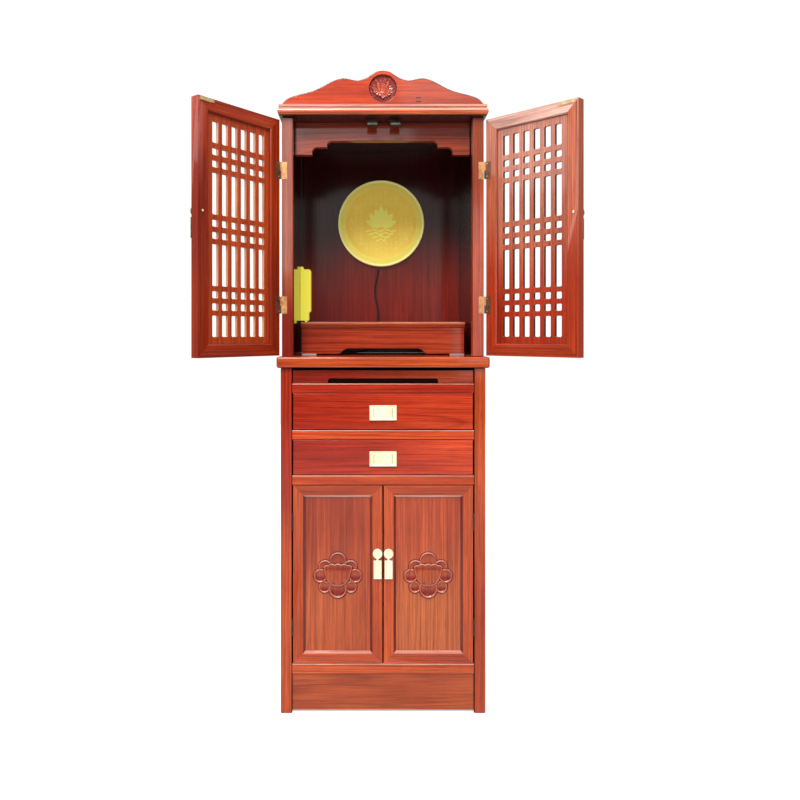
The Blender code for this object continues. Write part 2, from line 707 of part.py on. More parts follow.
def add_cupboard_door(side, word):
    """An inset door: a moulded frame round a panel with a carved lotus, a pull, and two hinge barrels."""
    axis_x = side * (HALF_OPENING - DOOR_HINGE_GAP / 2)
    face_y = LOWER_Y + FRONT_RECESS
    hinge = pivot(f"{word} cupboard door hinge", (axis_x, face_y - KNUCKLE_FORWARD, 0))
    outer = -side * DOOR_HINGE_GAP / 2
    inner = -side * (abs(axis_x) - DOOR_MEETING_GAP / 2)
    low_z, high_z = CUPBOARD_Z + DOOR_EDGE_GAP, SHELF_1_Z - DOOR_EDGE_GAP
    front = KNUCKLE_FORWARD
    low = (min(outer, inner), front, low_z)
    high = (max(outer, inner), front + DOOR_THICKNESS, high_z)
    window_frame(f"door_frame_{word}", low, high, DOOR_MEMBER, DOOR_MOULDING, "red lacquered wood", hinge)
    in_frame = DOOR_MEMBER + GLUE_GAP
    panel_front = front + PANEL_RECESS
    panel = board(
        f"door_panel_{word}", (low[0] + in_frame, panel_front, low_z + in_frame),
        (high[0] - in_frame, panel_front + PANEL_THICKNESS, high_z - in_frame),
        "red lacquered wood", parent=hinge,
    )
    relief = relief_disc(
        44, 6, PANEL_THICKNESS / 2, lotus_rim,
        lambda x, z, share, angle: lotus_height(x, z) if share < 0.99 else 0.0002,
    )
    middle = ((low[0] + high[0]) / 2, panel_front, (low_z + high_z) / 2 - LOTUS_LOWERED)
    carving = place(f"lotus {word}", mesh_from("lotus", relief), None, middle, hinge)
    combine(panel, carving, "UNION")
    rose_x = inner + side * ROSE_FROM_EDGE
    rose_z = (low_z + high_z) / 2 + LOWER_ROSE_ABOVE_MIDDLE
    add_pull(f"door_pull_{word}", rose_x, rose_z, front, -1, hinge)
    for end, middle_z in (("lower", low_z + KNUCKLE_INSET), ("upper", high_z - KNUCKLE_INSET)):
        shade_round(cylinder(
            f"door_hinge_{end}_{word}", KNUCKLE_RADIUS, middle_z - KNUCKLE_HEIGHT / 2,
            middle_z + KNUCKLE_HEIGHT / 2, (axis_x, face_y - KNUCKLE_FORWARD), "bronzed steel", 10,
        ))


def slot_outlines(middle_x, middle_z):
    """The lattice's slots: rows of small, tall and end heights, with bars of one width between them."""
    heights = [SLOT_HEIGHTS[kind] for kind in SLOT_ROWS]
    total_height = sum(heights) + SLOT_BAR * (len(heights) - 1)
    total_width = SLOT_COLUMNS * SLOT_WIDTH + (SLOT_COLUMNS - 1) * SLOT_BAR
    slots = []
    top = middle_z + total_height / 2
    for height in heights:
        left = middle_x - total_width / 2
        for _ in range(SLOT_COLUMNS):
            slots.append(rectangle(left, left + SLOT_WIDTH, top - height, top, SLOT_CORNER))
            left += SLOT_WIDTH + SLOT_BAR
        top -= height + SLOT_BAR
    return slots


def add_hinge_leaf(name, side, plane, axis, middle_z, own_half, parent=None):
    """A leaf against a face, with a barrel over its own half of the height. plane holds the leaf's two
    limits along Y, from the barrel's axis."""
    axis_x, axis_y = axis
    outer_x = axis_x - side * HINGE_AXIS_OUT
    inner_x = outer_x - side * HINGE_LEAF_WIDTH
    half_height = HINGE_HEIGHT / 2
    tab = GLUE_GAP + 0.0005
    outline = [
        (inner_x, -half_height), (outer_x, -half_height), (outer_x, tab), (axis_x, tab),
        (axis_x, half_height), (inner_x, half_height),
    ]
    outline = [(x, middle_z + own_half * z) for x, z in outline]
    leaf = flat_shape(name, [outline], axis_y + plane[0], axis_y + plane[1], "brass", parent=parent)
    ends = sorted((middle_z + own_half * GLUE_GAP, middle_z + own_half * (half_height - 0.0005)))
    barrel = cylinder(name + " barrel", HINGE_BARREL_RADIUS, *ends, axis, None, 10, parent=parent)
    return combine(leaf, barrel, "UNION")


def add_lattice_door(side, word, open_deg):
    """A framed lattice door, modelled shut from its hinge and turned open."""
    leaf_plane = GLUE_GAP + HINGE_LEAF_THICKNESS + HINGE_LEAF_GAP / 2
    axis_x = side * (HALF_CASE + HINGE_AXIS_OUT)
    axis_y = UPPER_Y - leaf_plane
    hinge = pivot(f"{word} lattice door hinge", (axis_x, axis_y, 0), side * open_deg)
    low_z, high_z = TOP_Z + LATTICE_DOOR_FLOOR_GAP, ROOF_UNDERSIDE_Z - LATTICE_DOOR_ROOF_GAP
    outer = -side * HINGE_AXIS_OUT
    inner = -side * (abs(axis_x) - LATTICE_DOOR_MEETING_GAP / 2)
    inner_face = -leaf_plane
    outer_face = inner_face - LATTICE_DOOR_THICKNESS
    low = Vector((min(outer, inner), outer_face, low_z))
    high = Vector((max(outer, inner), inner_face, high_z))
    window_frame(
        f"lattice_frame_{word}", low, high, LATTICE_FRAME, LATTICE_FRAME_MOULDING,
        "red lacquered wood", hinge, face=1,
    )
    in_frame = LATTICE_FRAME + GLUE_GAP
    middle_x, middle_z = (low.x + high.x) / 2, (low_z + high_z) / 2
    edge = rectangle(low.x + in_frame, high.x - in_frame, low_z + in_frame, high_z - in_frame)
    board_back = inner_face - LATTICE_RECESS
    flat_shape(
        f"lattice_{word}", [edge] + slot_outlines(middle_x, middle_z), board_back - LATTICE_BOARD,
        board_back, "red lacquered wood", parent=hinge,
    )
    strike_width, strike_thickness, strike_height = STRIKE_SIZE
    strike_x = side * CATCH_FROM_MIDDLE + CATCHES_OFF_MIDDLE - axis_x
    strike_face, strike_top = inner_face + GLUE_GAP, high_z - STRIKE_FROM_TOP
    strike_low = (strike_x - strike_width / 2, strike_face, strike_top - strike_height)
    strike_high = (strike_x + strike_width / 2, strike_face + strike_thickness, strike_top)
    board(f"strike_plate_{word}", strike_low, strike_high, "brass", parent=hinge)
    rose_x = inner + side * ROSE_FROM_EDGE
    add_pull(f"lattice_pull_{word}", rose_x, middle_z + UPPER_ROSE_ABOVE_MIDDLE, outer_face, -1, hinge)
    leaf_near, leaf_far = HINGE_LEAF_GAP / 2, HINGE_LEAF_GAP / 2 + HINGE_LEAF_THICKNESS
    for end, hinge_z in (("lower", low_z + HINGE_INSET), ("upper", high_z - HINGE_INSET)):
        case_axis = (axis_x, axis_y)
        add_hinge_leaf(f"case_leaf_{end}_{word}", side, (leaf_near, leaf_far), case_axis, hinge_z, 1)
        add_hinge_leaf(
            f"door_leaf_{end}_{word}", side, (-leaf_far, -leaf_near), (0.0, 0.0), hinge_z, -1, hinge
        )


def add_catch(side, word):
    """A catch under the roof: a plate, a web below it, and a magnet that reaches the door's strike."""
    middle_x = side * CATCH_FROM_MIDDLE + CATCHES_OFF_MIDDLE
    front = UPPER_Y - GLUE_GAP
    top = ROOF_UNDERSIDE_Z - GLUE_GAP
    plate_width, plate_depth, plate_height = CATCH_PLATE_SIZE
    plate_front = front + CATCH_PLATE_SETBACK
    web_front = plate_front + CUT_SLACK
    magnet_low = top - CATCH_DROP
    plate = board(
        f"catch_{word}", (middle_x - plate_width / 2, plate_front, top - plate_height),
        (middle_x + plate_width / 2, plate_front + plate_depth, top), "bronzed steel",
    )
    web = board(
        "catch web", (middle_x - CATCH_WEB_WIDTH / 2, web_front, magnet_low + CATCH_MAGNET_HEIGHT / 2),
        (middle_x + CATCH_WEB_WIDTH / 2, web_front + CATCH_WEB_THICKNESS, top - plate_height / 2), None,
    )
    magnet = board(
        "catch magnet", (middle_x - CATCH_MAGNET_WIDTH / 2, front, magnet_low),
        (middle_x + CATCH_MAGNET_WIDTH / 2, web_front + CATCH_WEB_THICKNESS + CUT_SLACK,
         magnet_low + CATCH_MAGNET_HEIGHT), None,
    )
    combine(combine(plate, web, "UNION"), magnet, "UNION")


# In the shrine
def add_stand():
    """A low bench that rests on the shrine's floor, under a chamfered top."""
    front = FRONT_Y + STAND_FROM_FRONT
    back = front + STAND_DEPTH
    left = STAND_OFF_MIDDLE - STAND_WIDTH / 2
    right = STAND_OFF_MIDDLE + STAND_WIDTH / 2
    base = TOP_Z + GLUE_GAP
    top = TOP_Z + STAND_HEIGHT
    upper_low = top - STAND_TOP_THICKNESS
    bm = bmesh.new()
    size = (right - left, back - front, STAND_TOP_THICKNESS)
    bmesh.ops.create_cube(bm, size=1.0, matrix=Matrix.Diagonal((*size, 1.0)))
    under = [e for e in bm.edges if all(v.co.z < 0 for v in e.verts) and e.verts[0].co.x != e.verts[1].co.x]
    bmesh.ops.bevel(
        bm, geom=under, offset=STAND_TOP_CHAMFER, offset_type="OFFSET", segments=1, profile=0.5,
        affect="EDGES",
    )
    middle = ((left + right) / 2, (front + back) / 2, (upper_low + top) / 2)
    place("stand_top", mesh_from("stand top", bm), "red lacquered wood", middle)
    out_left, out_right = left + STAND_END_OVERHANG, right - STAND_END_OVERHANG
    out_front, out_back = front + STAND_OVERHANG, back - STAND_OVERHANG
    outline = [
        (out_left, out_front), (out_right, out_front), (out_right, out_back),
        (out_right - STAND_WALL, out_back), (out_right - STAND_WALL, out_front + STAND_WALL),
        (out_left + STAND_WALL, out_front + STAND_WALL), (out_left + STAND_WALL, out_back),
        (out_left, out_back),
    ]
    frame = flat_shape(
        "stand_frame", [outline], base, upper_low - GLUE_GAP, "red lacquered wood", upright=False
    )
    wide, narrow, notch_height = (STAND_NOTCH[0] / 2, STAND_NOTCH[1] / 2, STAND_NOTCH[2])
    below = base - CUT_SLACK
    toe = base + STAND_TOE
    foot = out_right - STAND_OFF_MIDDLE - STAND_PAD_LENGTH
    notch_top = toe + notch_height
    half = [(0, notch_top), (narrow, notch_top), (narrow + 0.010, notch_top - 0.005)]
    half += [(wide, toe), (foot, toe), (foot, below), (0, below)]
    outline = half + [(-x, z) for x, z in reversed(half) if x]
    notch = flat_shape(
        "stand notch", [outline], out_front - CUT_SLACK, out_front + STAND_WALL + CUT_SLACK, None,
        location=(STAND_OFF_MIDDLE, 0, 0),
    )
    combine(frame, notch, "DIFFERENCE")


def add_gland(housing, middle, top_z):
    """A tapered gland that points down out of a housing, where the cord starts or ends."""
    gland = cylinder(
        housing.name + " gland", GLAND_TIP_RADIUS, top_z - GLAND_LENGTH, top_z, middle, None, 10,
        GLAND_RADIUS,
    )
    combine(housing, gland, "UNION")


def add_lamp():
    """A round lamp that hangs flat on the back wall, with a raised rim and a sunk field."""
    wall = PANEL_Y - GLUE_GAP
    band = 0.0025
    profile = [
        (0.0, LAMP_THICKNESS - band), (LAMP_RADIUS * LAMP_FIELD_SHARE, LAMP_THICKNESS - band),
        (LAMP_RADIUS * LAMP_FIELD_SHARE + band, LAMP_THICKNESS - band / 2),
        (LAMP_RADIUS - LAMP_RIM, LAMP_THICKNESS - band / 2), (LAMP_RADIUS - LAMP_RIM, LAMP_THICKNESS),
        (LAMP_RADIUS, LAMP_THICKNESS), (LAMP_RADIUS, 0.0), (0.0, 0.0),
    ]
    bm = bmesh.new()
    verts = [bm.verts.new((radius, -out, 0)) for radius, out in profile]
    edges = [bm.edges.new(pair) for pair in zip(verts, verts[1:])]
    bmesh.ops.spin(
        bm, geom=verts + edges, axis=(0, 1, 0), cent=(0, 0, 0), angle=math.tau, steps=40,
        use_merge=True,
    )
    bmesh.ops.remove_doubles(bm, verts=bm.verts, dist=1e-5)
    middle_z = TOP_Z + LAMP_ABOVE_TOP
    lamp = place("disc_lamp", mesh_from("disc lamp", bm), "gilt plastic", (LAMP_OFF_MIDDLE, wall, middle_z))
    shade_round(lamp)
    gland_x, from_wall = LAMP_GLAND_PLACE
    add_gland(lamp, (gland_x, wall - from_wall), middle_z - LAMP_RADIUS + GLAND_SUNK)


def add_driver():
    """The lamp's yellow driver box in the corner of the shrine."""
    width, depth, height = DRIVER_SIZE
    foot_width, foot_height = DRIVER_FOOT
    nub_width, nub_height = DRIVER_NUB
    left = -HALF_INSIDE + DRIVER_WALL_GAP
    right = left + width
    middle = (left + right) / 2
    low = TOP_Z + DRIVER_ABOVE_TOP
    high = low + height
    foot_low, corner = low - foot_height, DRIVER_CORNER
    outline = [
        (left, foot_low), (left + foot_width - corner / 2, foot_low),
        (left + foot_width, foot_low + corner / 2), (left + foot_width, low), (right, low + corner),
        (right, high - corner), (right - corner, high), (left + nub_width, high),
        (left + nub_width, high + nub_height), (left, high + nub_height),
    ]
    back = PANEL_Y - GLUE_GAP
    driver = flat_shape("driver_box", [outline], back - depth, back, "yellow plastic")
    add_gland(driver, (middle, back - DRIVER_GLAND_FROM_BACK), foot_low + GLAND_SUNK)


# The cord's route, chosen by hand: down from the lamp, behind the stand and up into the driver box
CORD_POINTS = (
    (-0.0056, 0.2840, 1.2050), (-0.0080, 0.2840, 1.1900), (-0.0120, 0.2832, 1.1720),
    (-0.0158, 0.2822, 1.1520), (-0.0170, 0.2812, 1.1320), (-0.0142, 0.2800, 1.1120),
    (-0.0085, 0.2790, 1.0900), (-0.0058, 0.2784, 1.0680), (-0.0078, 0.2780, 1.0460),
    (-0.0122, 0.2776, 1.0220), (-0.0165, 0.2772, 0.9970), (-0.0215, 0.2768, 0.9750),
    (-0.0310, 0.2764, 0.9570), (-0.0470, 0.2760, 0.9462), (-0.0700, 0.2756, 0.9428),
    (-0.1000, 0.2750, 0.9426), (-0.1350, 0.2746, 0.9426), (-0.1650, 0.2748, 0.9428),
    (-0.1920, 0.2752, 0.9450), (-0.2140, 0.2756, 0.9540), (-0.2280, 0.2758, 0.9710),
    (-0.2345, 0.2760, 0.9900), (-0.2353, 0.2760, 1.0110), (-0.2353, 0.2760, 1.0331),
)


def add_cord():
    """The lamp's cord, as a tube along a smooth curve through its route."""
    smooth = smooth_curve(CORD_POINTS, 4)
    spacing = 2.9 * CORD_DIAMETER
    points, walked = [smooth[0]], 0.0
    for before, after in zip(smooth, smooth[1:]):
        walked += (after - before).length
        if walked >= spacing:
            points.append(after)
            walked = 0.0
    points[-1] = smooth[-1]
    curve = bpy.data.curves.new("lamp cord", "CURVE")
    curve.dimensions = "3D"
    curve.bevel_depth = CORD_DIAMETER / 2
    curve.bevel_resolution = 2
    curve.use_fill_caps = True
    spline = curve.splines.new("POLY")
    spline.points.add(len(points) - 1)
    for point, place_at in zip(spline.points, points):
        point.co = (*place_at, 1)
    cord = bpy.data.objects.new("lamp_cord", curve)
    parts.objects.link(cord)
    curve.materials.append(finish("black plastic"))


clear_scene()
parts = new_collection("household altar cabinet")
cutters = new_collection("cutters")
add_case()
add_header()
add_crest()
add_drawer("lower", DRAWER_1_Z, LOWER_DRAWER_SPACE)
add_drawer("upper", DRAWER_2_Z, UPPER_DRAWER_SPACE)
add_tray()
for side, word, open_deg in ((-1, "left", LEFT_OPEN_DEG), (1, "right", RIGHT_OPEN_DEG)):
    add_cupboard_door(side, word)
    add_lattice_door(side, word, open_deg)
    add_catch(side, word)
add_stand()
add_lamp()
add_driver()
add_cord()
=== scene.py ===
# %% [markdown]
# # A household altar cabinet in Blender
#
# The object is a tall cabinet of red lacquered wood. Its upper half is a shrine behind two lattice
# doors, its lower half holds a pull-out tray, two drawers and a cupboard.
#
# The boards themselves were modelled elsewhere to exact sizes, and are loaded here as a fixed frame.
# This script gives every board its finish, and models what needs a finer mesh than a board has: the
# carving, the brass, the lamp and its cord.

import json
import math
import random

import bmesh
import bpy
import numpy as np
from mathutils import Matrix, Vector


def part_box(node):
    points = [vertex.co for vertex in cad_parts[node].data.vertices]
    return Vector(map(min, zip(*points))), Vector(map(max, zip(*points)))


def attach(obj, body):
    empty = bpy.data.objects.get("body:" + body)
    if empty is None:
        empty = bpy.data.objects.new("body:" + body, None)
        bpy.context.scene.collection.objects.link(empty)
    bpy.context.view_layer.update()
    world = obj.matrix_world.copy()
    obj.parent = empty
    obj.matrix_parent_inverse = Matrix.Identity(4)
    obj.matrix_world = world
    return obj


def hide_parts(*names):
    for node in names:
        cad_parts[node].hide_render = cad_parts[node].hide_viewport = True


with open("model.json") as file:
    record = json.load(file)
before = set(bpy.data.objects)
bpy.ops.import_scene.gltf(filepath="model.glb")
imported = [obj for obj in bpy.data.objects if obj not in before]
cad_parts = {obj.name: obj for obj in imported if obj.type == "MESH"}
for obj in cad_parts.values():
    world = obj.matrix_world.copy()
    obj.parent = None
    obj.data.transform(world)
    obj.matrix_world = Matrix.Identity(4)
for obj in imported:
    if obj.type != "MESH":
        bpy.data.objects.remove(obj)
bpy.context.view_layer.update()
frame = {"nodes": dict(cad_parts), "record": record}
nodes = frame["nodes"]
body_of = {node: body for body, names in frame["record"]["behaviour"]["bodies"].items() for node in names}

# %% [markdown]
# ## Camera
#
# The photograph was taken from straight in front, about 1.9 m away and 1 m up, a little to the left of
# the cabinet's middle. A level camera keeps upright edges upright. The picture was then cropped, which
# a lens shift copies: it slides the frame and leaves the perspective alone.

# %% Set up the camera
IMAGE_SIZE = 800
FOCAL_PIXELS = 730
CAMERA_PLACE = (-0.045, -2.039, 1.0028)
PICTURE_CENTRE = (366, 333)

camera_data = bpy.data.cameras.new("camera")
camera_data.sensor_width = 36
camera_data.lens = camera_data.sensor_width * FOCAL_PIXELS / IMAGE_SIZE
camera_data.shift_x = 0.5 - PICTURE_CENTRE[0] / IMAGE_SIZE
camera_data.shift_y = PICTURE_CENTRE[1] / IMAGE_SIZE - 0.5
camera = bpy.data.objects.new("camera", camera_data)
camera.location = CAMERA_PLACE
camera.rotation_euler = (math.pi / 2, 0, 0)
bpy.context.scene.collection.objects.link(camera)
bpy.context.scene.camera = camera
print("lens", round(camera_data.lens, 1), "mm, shift", camera_data.shift_x, camera_data.shift_y)

# %% [markdown]
# ## Node helpers
#
# Every finish below is a small tree of nodes. One helper sets or links the inputs of a node, and one
# adds a node, to the right of the last one. The others are the kinds of node that the finishes share,
# and each returns the output that the next node reads.

# %% Node helpers
def set_inputs(node, values):
    """Links or sets a node's inputs, given by name in a dictionary, or in order."""
    for socket, value in values.items() if isinstance(values, dict) else enumerate(values):
        target = node.inputs[socket]
        if isinstance(value, bpy.types.NodeSocket):
            node.id_data.links.new(value, target)
        else:
            target.default_value = (*value, 1) if target.type == "RGBA" else value


def add_node(tree, kind, values=(), **settings):
    node = tree.nodes.new(kind)
    node.location.x = 180 * len(tree.nodes)
    for key, value in settings.items():
        setattr(node, key, value)
    set_inputs(node, values)
    return node


def object_place(tree):
    return add_node(tree, "ShaderNodeTexCoord").outputs["Object"]


def split_axes(tree, vector):
    return add_node(tree, "ShaderNodeSeparateXYZ", (vector,)).outputs


def mapping(tree, vector, **values):
    return add_node(tree, "ShaderNodeMapping", {"Vector": vector, **values}).outputs["Vector"]


def noise(tree, source, scale, detail=2, roughness=0.5, socket="Vector", output="Fac", **settings):
    values = {socket: source, "Scale": scale, "Detail": detail, "Roughness": roughness}
    return add_node(tree, "ShaderNodeTexNoise", values, **settings).outputs[output]


def calculate(tree, operation, *values):
    return add_node(tree, "ShaderNodeMath", values, operation=operation).outputs["Value"]


def remap(tree, value, from_min, from_max, to_min=0.0, to_max=1.0):
    """Runs smoothly from to_min to to_max while the value runs from from_min to from_max."""
    values = {"Value": value, "From Min": from_min, "From Max": from_max, "To Min": to_min, "To Max": to_max}
    return add_node(tree, "ShaderNodeMapRange", values, interpolation_type="SMOOTHSTEP").outputs["Result"]


def blend_colours(tree, kind, factor, first, second):
    values = {"Factor": factor, "A": first, "B": second}
    return add_node(tree, "ShaderNodeMix", values, data_type="RGBA", blend_type=kind).outputs["Result"]


def colour_ramp(tree, factor, *stops):
    """Turns a number into a colour. Each stop is a position with a colour or a grey."""
    ramp = add_node(tree, "ShaderNodeValToRGB", {"Fac": factor})
    elements = ramp.color_ramp.elements
    while len(elements) < len(stops):
        elements.new(0.5)
    for element, (position, colour) in zip(elements, stops):
        element.position = position
        element.color = (*colour, 1) if isinstance(colour, tuple) else (colour, colour, colour, 1)
    return ramp.outputs["Color"]


def add_bump(shader, height, strength, distance):
    bump = add_node(shader.id_data, "ShaderNodeBump", {"Height": height, "Strength": strength, "Distance": distance})
    set_inputs(shader, {"Normal": bump.outputs["Normal"]})


def new_material(name):
    material = bpy.data.materials.new(name)
    material.use_nodes = True
    return material, material.node_tree, material.node_tree.nodes["Principled BSDF"]


def speckled(name, scale, detail, spread, dark, light, roughness, bump, grain=0.5, depth=0.0002, glow=None):
    """A plain finish whose tone and height follow one fine noise."""
    material, tree, shader = new_material(name)
    specks = noise(tree, object_place(tree), scale, detail, grain)
    tone = colour_ramp(tree, specks, (0.5 - spread, dark), (0.5 + spread, light))
    set_inputs(shader, {"Base Color": tone, "Roughness": roughness})
    if glow:
        set_inputs(shader, {"Emission Color": tone, "Emission Strength": glow})
    add_bump(shader, specks, bump, depth)
    return material


print("helpers ready")

# %% [markdown]
# ## Light and floor
#
# Lacquer shows what surrounds it, so the room matters as much as the lamps. Two lights shape the
# object: one high in front, whose light reaches the back wall under the stepped header, and one nearly
# overhead, which leaves a shadow under the roof. Large soft panels stand where their reflections wash
# over the upper left stile and the right lattice door. The room behind the camera is dim, so that the
# fronts of the drawers keep their deep colour.
#
# The ground is white for the camera alone. To everything else the floor is grey, or its light would
# fill the shadows from below.

# %% Light the room
ROOM_SIDES = 0.20
ROOM_ABOVE = 0.70
BEHIND_CAMERA_LOW, BEHIND_CAMERA_HIGH = 0.05, 0.50
BACKDROP = 1.02
LIGHTS = {  # place, aim, width and height, watts
    "key": ((-0.7, -2.9, 3.7), (0, 0, 1.0), (1.0, 1.0), 104),
    "overhead": ((0.1, -1.50, 3.6), (0, -0.1, 0.8), (2.6, 0.8), 46),
    "left panel": ((-2.35, -0.9, 2.45), (0.3, -0.2, 1.5), (1.5, 1.1), 13),
    "stile panel": ((-0.98, -4.1, 2.15), (-0.25, 0, 1.3), (0.7, 1.3), 9),
    "right panel": ((0.98, -4.1, 1.35), (0.25, 0, 1.2), (0.55, 1.4), 4),
    "header panel": ((-0.15, -4.1, 2.62), (0, 0, 1.5), (1.0, 0.3), 1.5),
    "crest panel": ((0.62, -4.1, 3.0), (0.2, 0, 1.6), (0.8, 0.3), 1.4),
}

world = bpy.data.worlds.new("studio")
world.use_nodes = True
tree = world.node_tree
direction = split_axes(tree, add_node(tree, "ShaderNodeTexCoord").outputs["Generated"])
behind = remap(tree, direction["Z"], -0.02, 0.12, BEHIND_CAMERA_LOW, BEHIND_CAMERA_HIGH)
around = remap(tree, direction["Y"], -0.95, -0.70, behind, ROOM_SIDES)
brightness = calculate(tree, "ADD", around, remap(tree, direction["Z"], 0.25, 0.9, 0.0, ROOM_ABOVE))
seen = add_node(tree, "ShaderNodeLightPath").outputs["Is Camera Ray"]
strength = add_node(tree, "ShaderNodeMix", {"Factor": seen, "A": brightness, "B": BACKDROP}, data_type="FLOAT")
set_inputs(tree.nodes["Background"], {"Color": (1, 1, 1), "Strength": strength.outputs["Result"]})
bpy.context.scene.world = world
bpy.context.scene.view_settings.view_transform = "Standard"

for name, (place, aim, size, watts) in LIGHTS.items():
    data = bpy.data.lights.new(name, "AREA")
    data.shape = "RECTANGLE"
    data.size, data.size_y = size
    data.energy = watts
    light = bpy.data.objects.new(name, data)
    light.location = place
    light.rotation_euler = (Vector(aim) - Vector(place)).to_track_quat("-Z", "Y").to_euler()
    bpy.context.scene.collection.objects.link(light)
print(len(LIGHTS), "lights")

# %% Lay the floor
FLOOR_SIZE = 12.0
FLOOR_GREY, FLOOR_WHITE, FLOOR_GLOW = 0.62, 0.95, 0.55

floor_material, tree, shader = new_material("pale floor")
seen = add_node(tree, "ShaderNodeLightPath").outputs["Is Camera Ray"]
set_inputs(shader, {
    "Base Color": blend_colours(tree, "MIX", seen, (FLOOR_GREY,) * 3, (FLOOR_WHITE,) * 3), "Roughness": 0.9,
    "Specular IOR Level": 0.1, "Emission Color": (1, 1, 1),
    "Emission Strength": calculate(tree, "MULTIPLY", seen, FLOOR_GLOW),
})
bm = bmesh.new()
bmesh.ops.create_grid(bm, x_segments=1, y_segments=1, size=FLOOR_SIZE / 2)
floor_mesh = bpy.data.meshes.new("floor")
bm.to_mesh(floor_mesh)
bm.free()
floor_mesh.materials.append(floor_material)
floor = bpy.data.objects.new("floor", floor_mesh)
bpy.context.scene.collection.objects.link(floor)
print("floor", FLOOR_SIZE, "m wide")

# %% [markdown]
# ## The lamp's cord
#
# A thin black lead leaves the lower edge of the lamp, hangs down the back wall in a slack bend, runs
# along the floor of the shrine behind the stand and goes up into the driver box. It is a curve with a
# round bevel, so its route stays easy to read and change. Its sheath is a dull black plastic, with a
# faint roughness from its making.

# %% Lay the lamp's cord
CORD_DIAMETER = 0.0045
CORD_ROUTE = (
    (-0.0056, 0.2840, 1.2050), (-0.0080, 0.2840, 1.1900), (-0.0120, 0.2832, 1.1720),
    (-0.0158, 0.2822, 1.1520), (-0.0170, 0.2812, 1.1320), (-0.0142, 0.2800, 1.1120),
    (-0.0085, 0.2790, 1.0900), (-0.0058, 0.2784, 1.0680), (-0.0078, 0.2780, 1.0460),
    (-0.0122, 0.2776, 1.0220), (-0.0165, 0.2772, 0.9970), (-0.0215, 0.2768, 0.9750),
    (-0.0310, 0.2764, 0.9570), (-0.0470, 0.2760, 0.9462), (-0.0700, 0.2756, 0.9428),
    (-0.1000, 0.2750, 0.9426), (-0.1350, 0.2746, 0.9426), (-0.1650, 0.2748, 0.9428),
    (-0.1920, 0.2752, 0.9450), (-0.2140, 0.2756, 0.9540), (-0.2280, 0.2758, 0.9710),
    (-0.2345, 0.2760, 0.9900), (-0.2353, 0.2760, 1.0110), (-0.2353, 0.2760, 1.0331),
)


def smooth_route(knots, steps):
    """Points on a Catmull-Rom curve through the knots."""
    knots = [Vector(knot) for knot in knots]
    ends = [2 * knots[0] - knots[1]] + knots + [2 * knots[-1] - knots[-2]]
    points = []
    for a, b, c, d in zip(ends, ends[1:], ends[2:], ends[3:]):
        for t in (step / steps for step in range(steps)):
            bend = (c - a) * t + (2 * a - 5 * b + 4 * c - d) * t**2 + (3 * b - a - 3 * c + d) * t**3
            points.append(0.5 * (2 * b + bend))
    return points + [knots[-1]]


route = smooth_route(CORD_ROUTE, 6)
cord_curve = bpy.data.curves.new("lamp lead", "CURVE")
cord_curve.dimensions = "3D"
cord_curve.bevel_depth = CORD_DIAMETER / 2
cord_curve.bevel_resolution = 4
cord_curve.use_fill_caps = True
spline = cord_curve.splines.new("POLY")
spline.points.add(len(route) - 1)
for point, place in zip(spline.points, route):
    point.co = (*place, 1)
spline.use_smooth = True
cord_curve.materials.append(
    speckled("black sheath", 900, 3, 0.2, (0.009, 0.005, 0.004), (0.020, 0.011, 0.009), 0.42, 0.15)
)
cord = bpy.data.objects.new("lamp_lead", cord_curve)
bpy.context.scene.collection.objects.link(cord)
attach(cord, "case")
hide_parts("lamp_cord")

# %% [markdown]
# ## Lacquered wood
#
# Wood is a stack of growth rings around the tree's pith, and a board is a slice through it. So the
# pattern here isn't drawn on the surface: it is a set of nested cylinders round a pith line that lies
# behind the board, and each face shows where it cuts them. That gives straight lines on one face and
# arched figure on the next, as on a real board. Noise that is stretched along the grain bends the
# rings, and finer noise gives the fibres and pores.
#
# Every board gets its own pith, so no two show the same figure. The lacquer is a clear coat, a second
# and sharper reflection over the wood's own soft one. On a carving, two attributes of the mesh darken
# its hollows, with staining and painted shade, and lighten its ridges, with a painted highlight where
# they face up.

# %% Make the lacquered wood
def carved_stain_and_painted_light(tree, body):
    """Darkens a carving's hollows with staining and painted shade, lightens its ridges with a painted highlight."""
    for name, kind, tint in (("hollow", "MULTIPLY", (0.50, 0.085, 0.065)), ("ridge", "SCREEN", (0.42, 0.30, 0.26))):
        share = add_node(tree, "ShaderNodeAttribute", attribute_name=name).outputs["Fac"]
        body = blend_colours(tree, kind, share, body, tint)
    return body


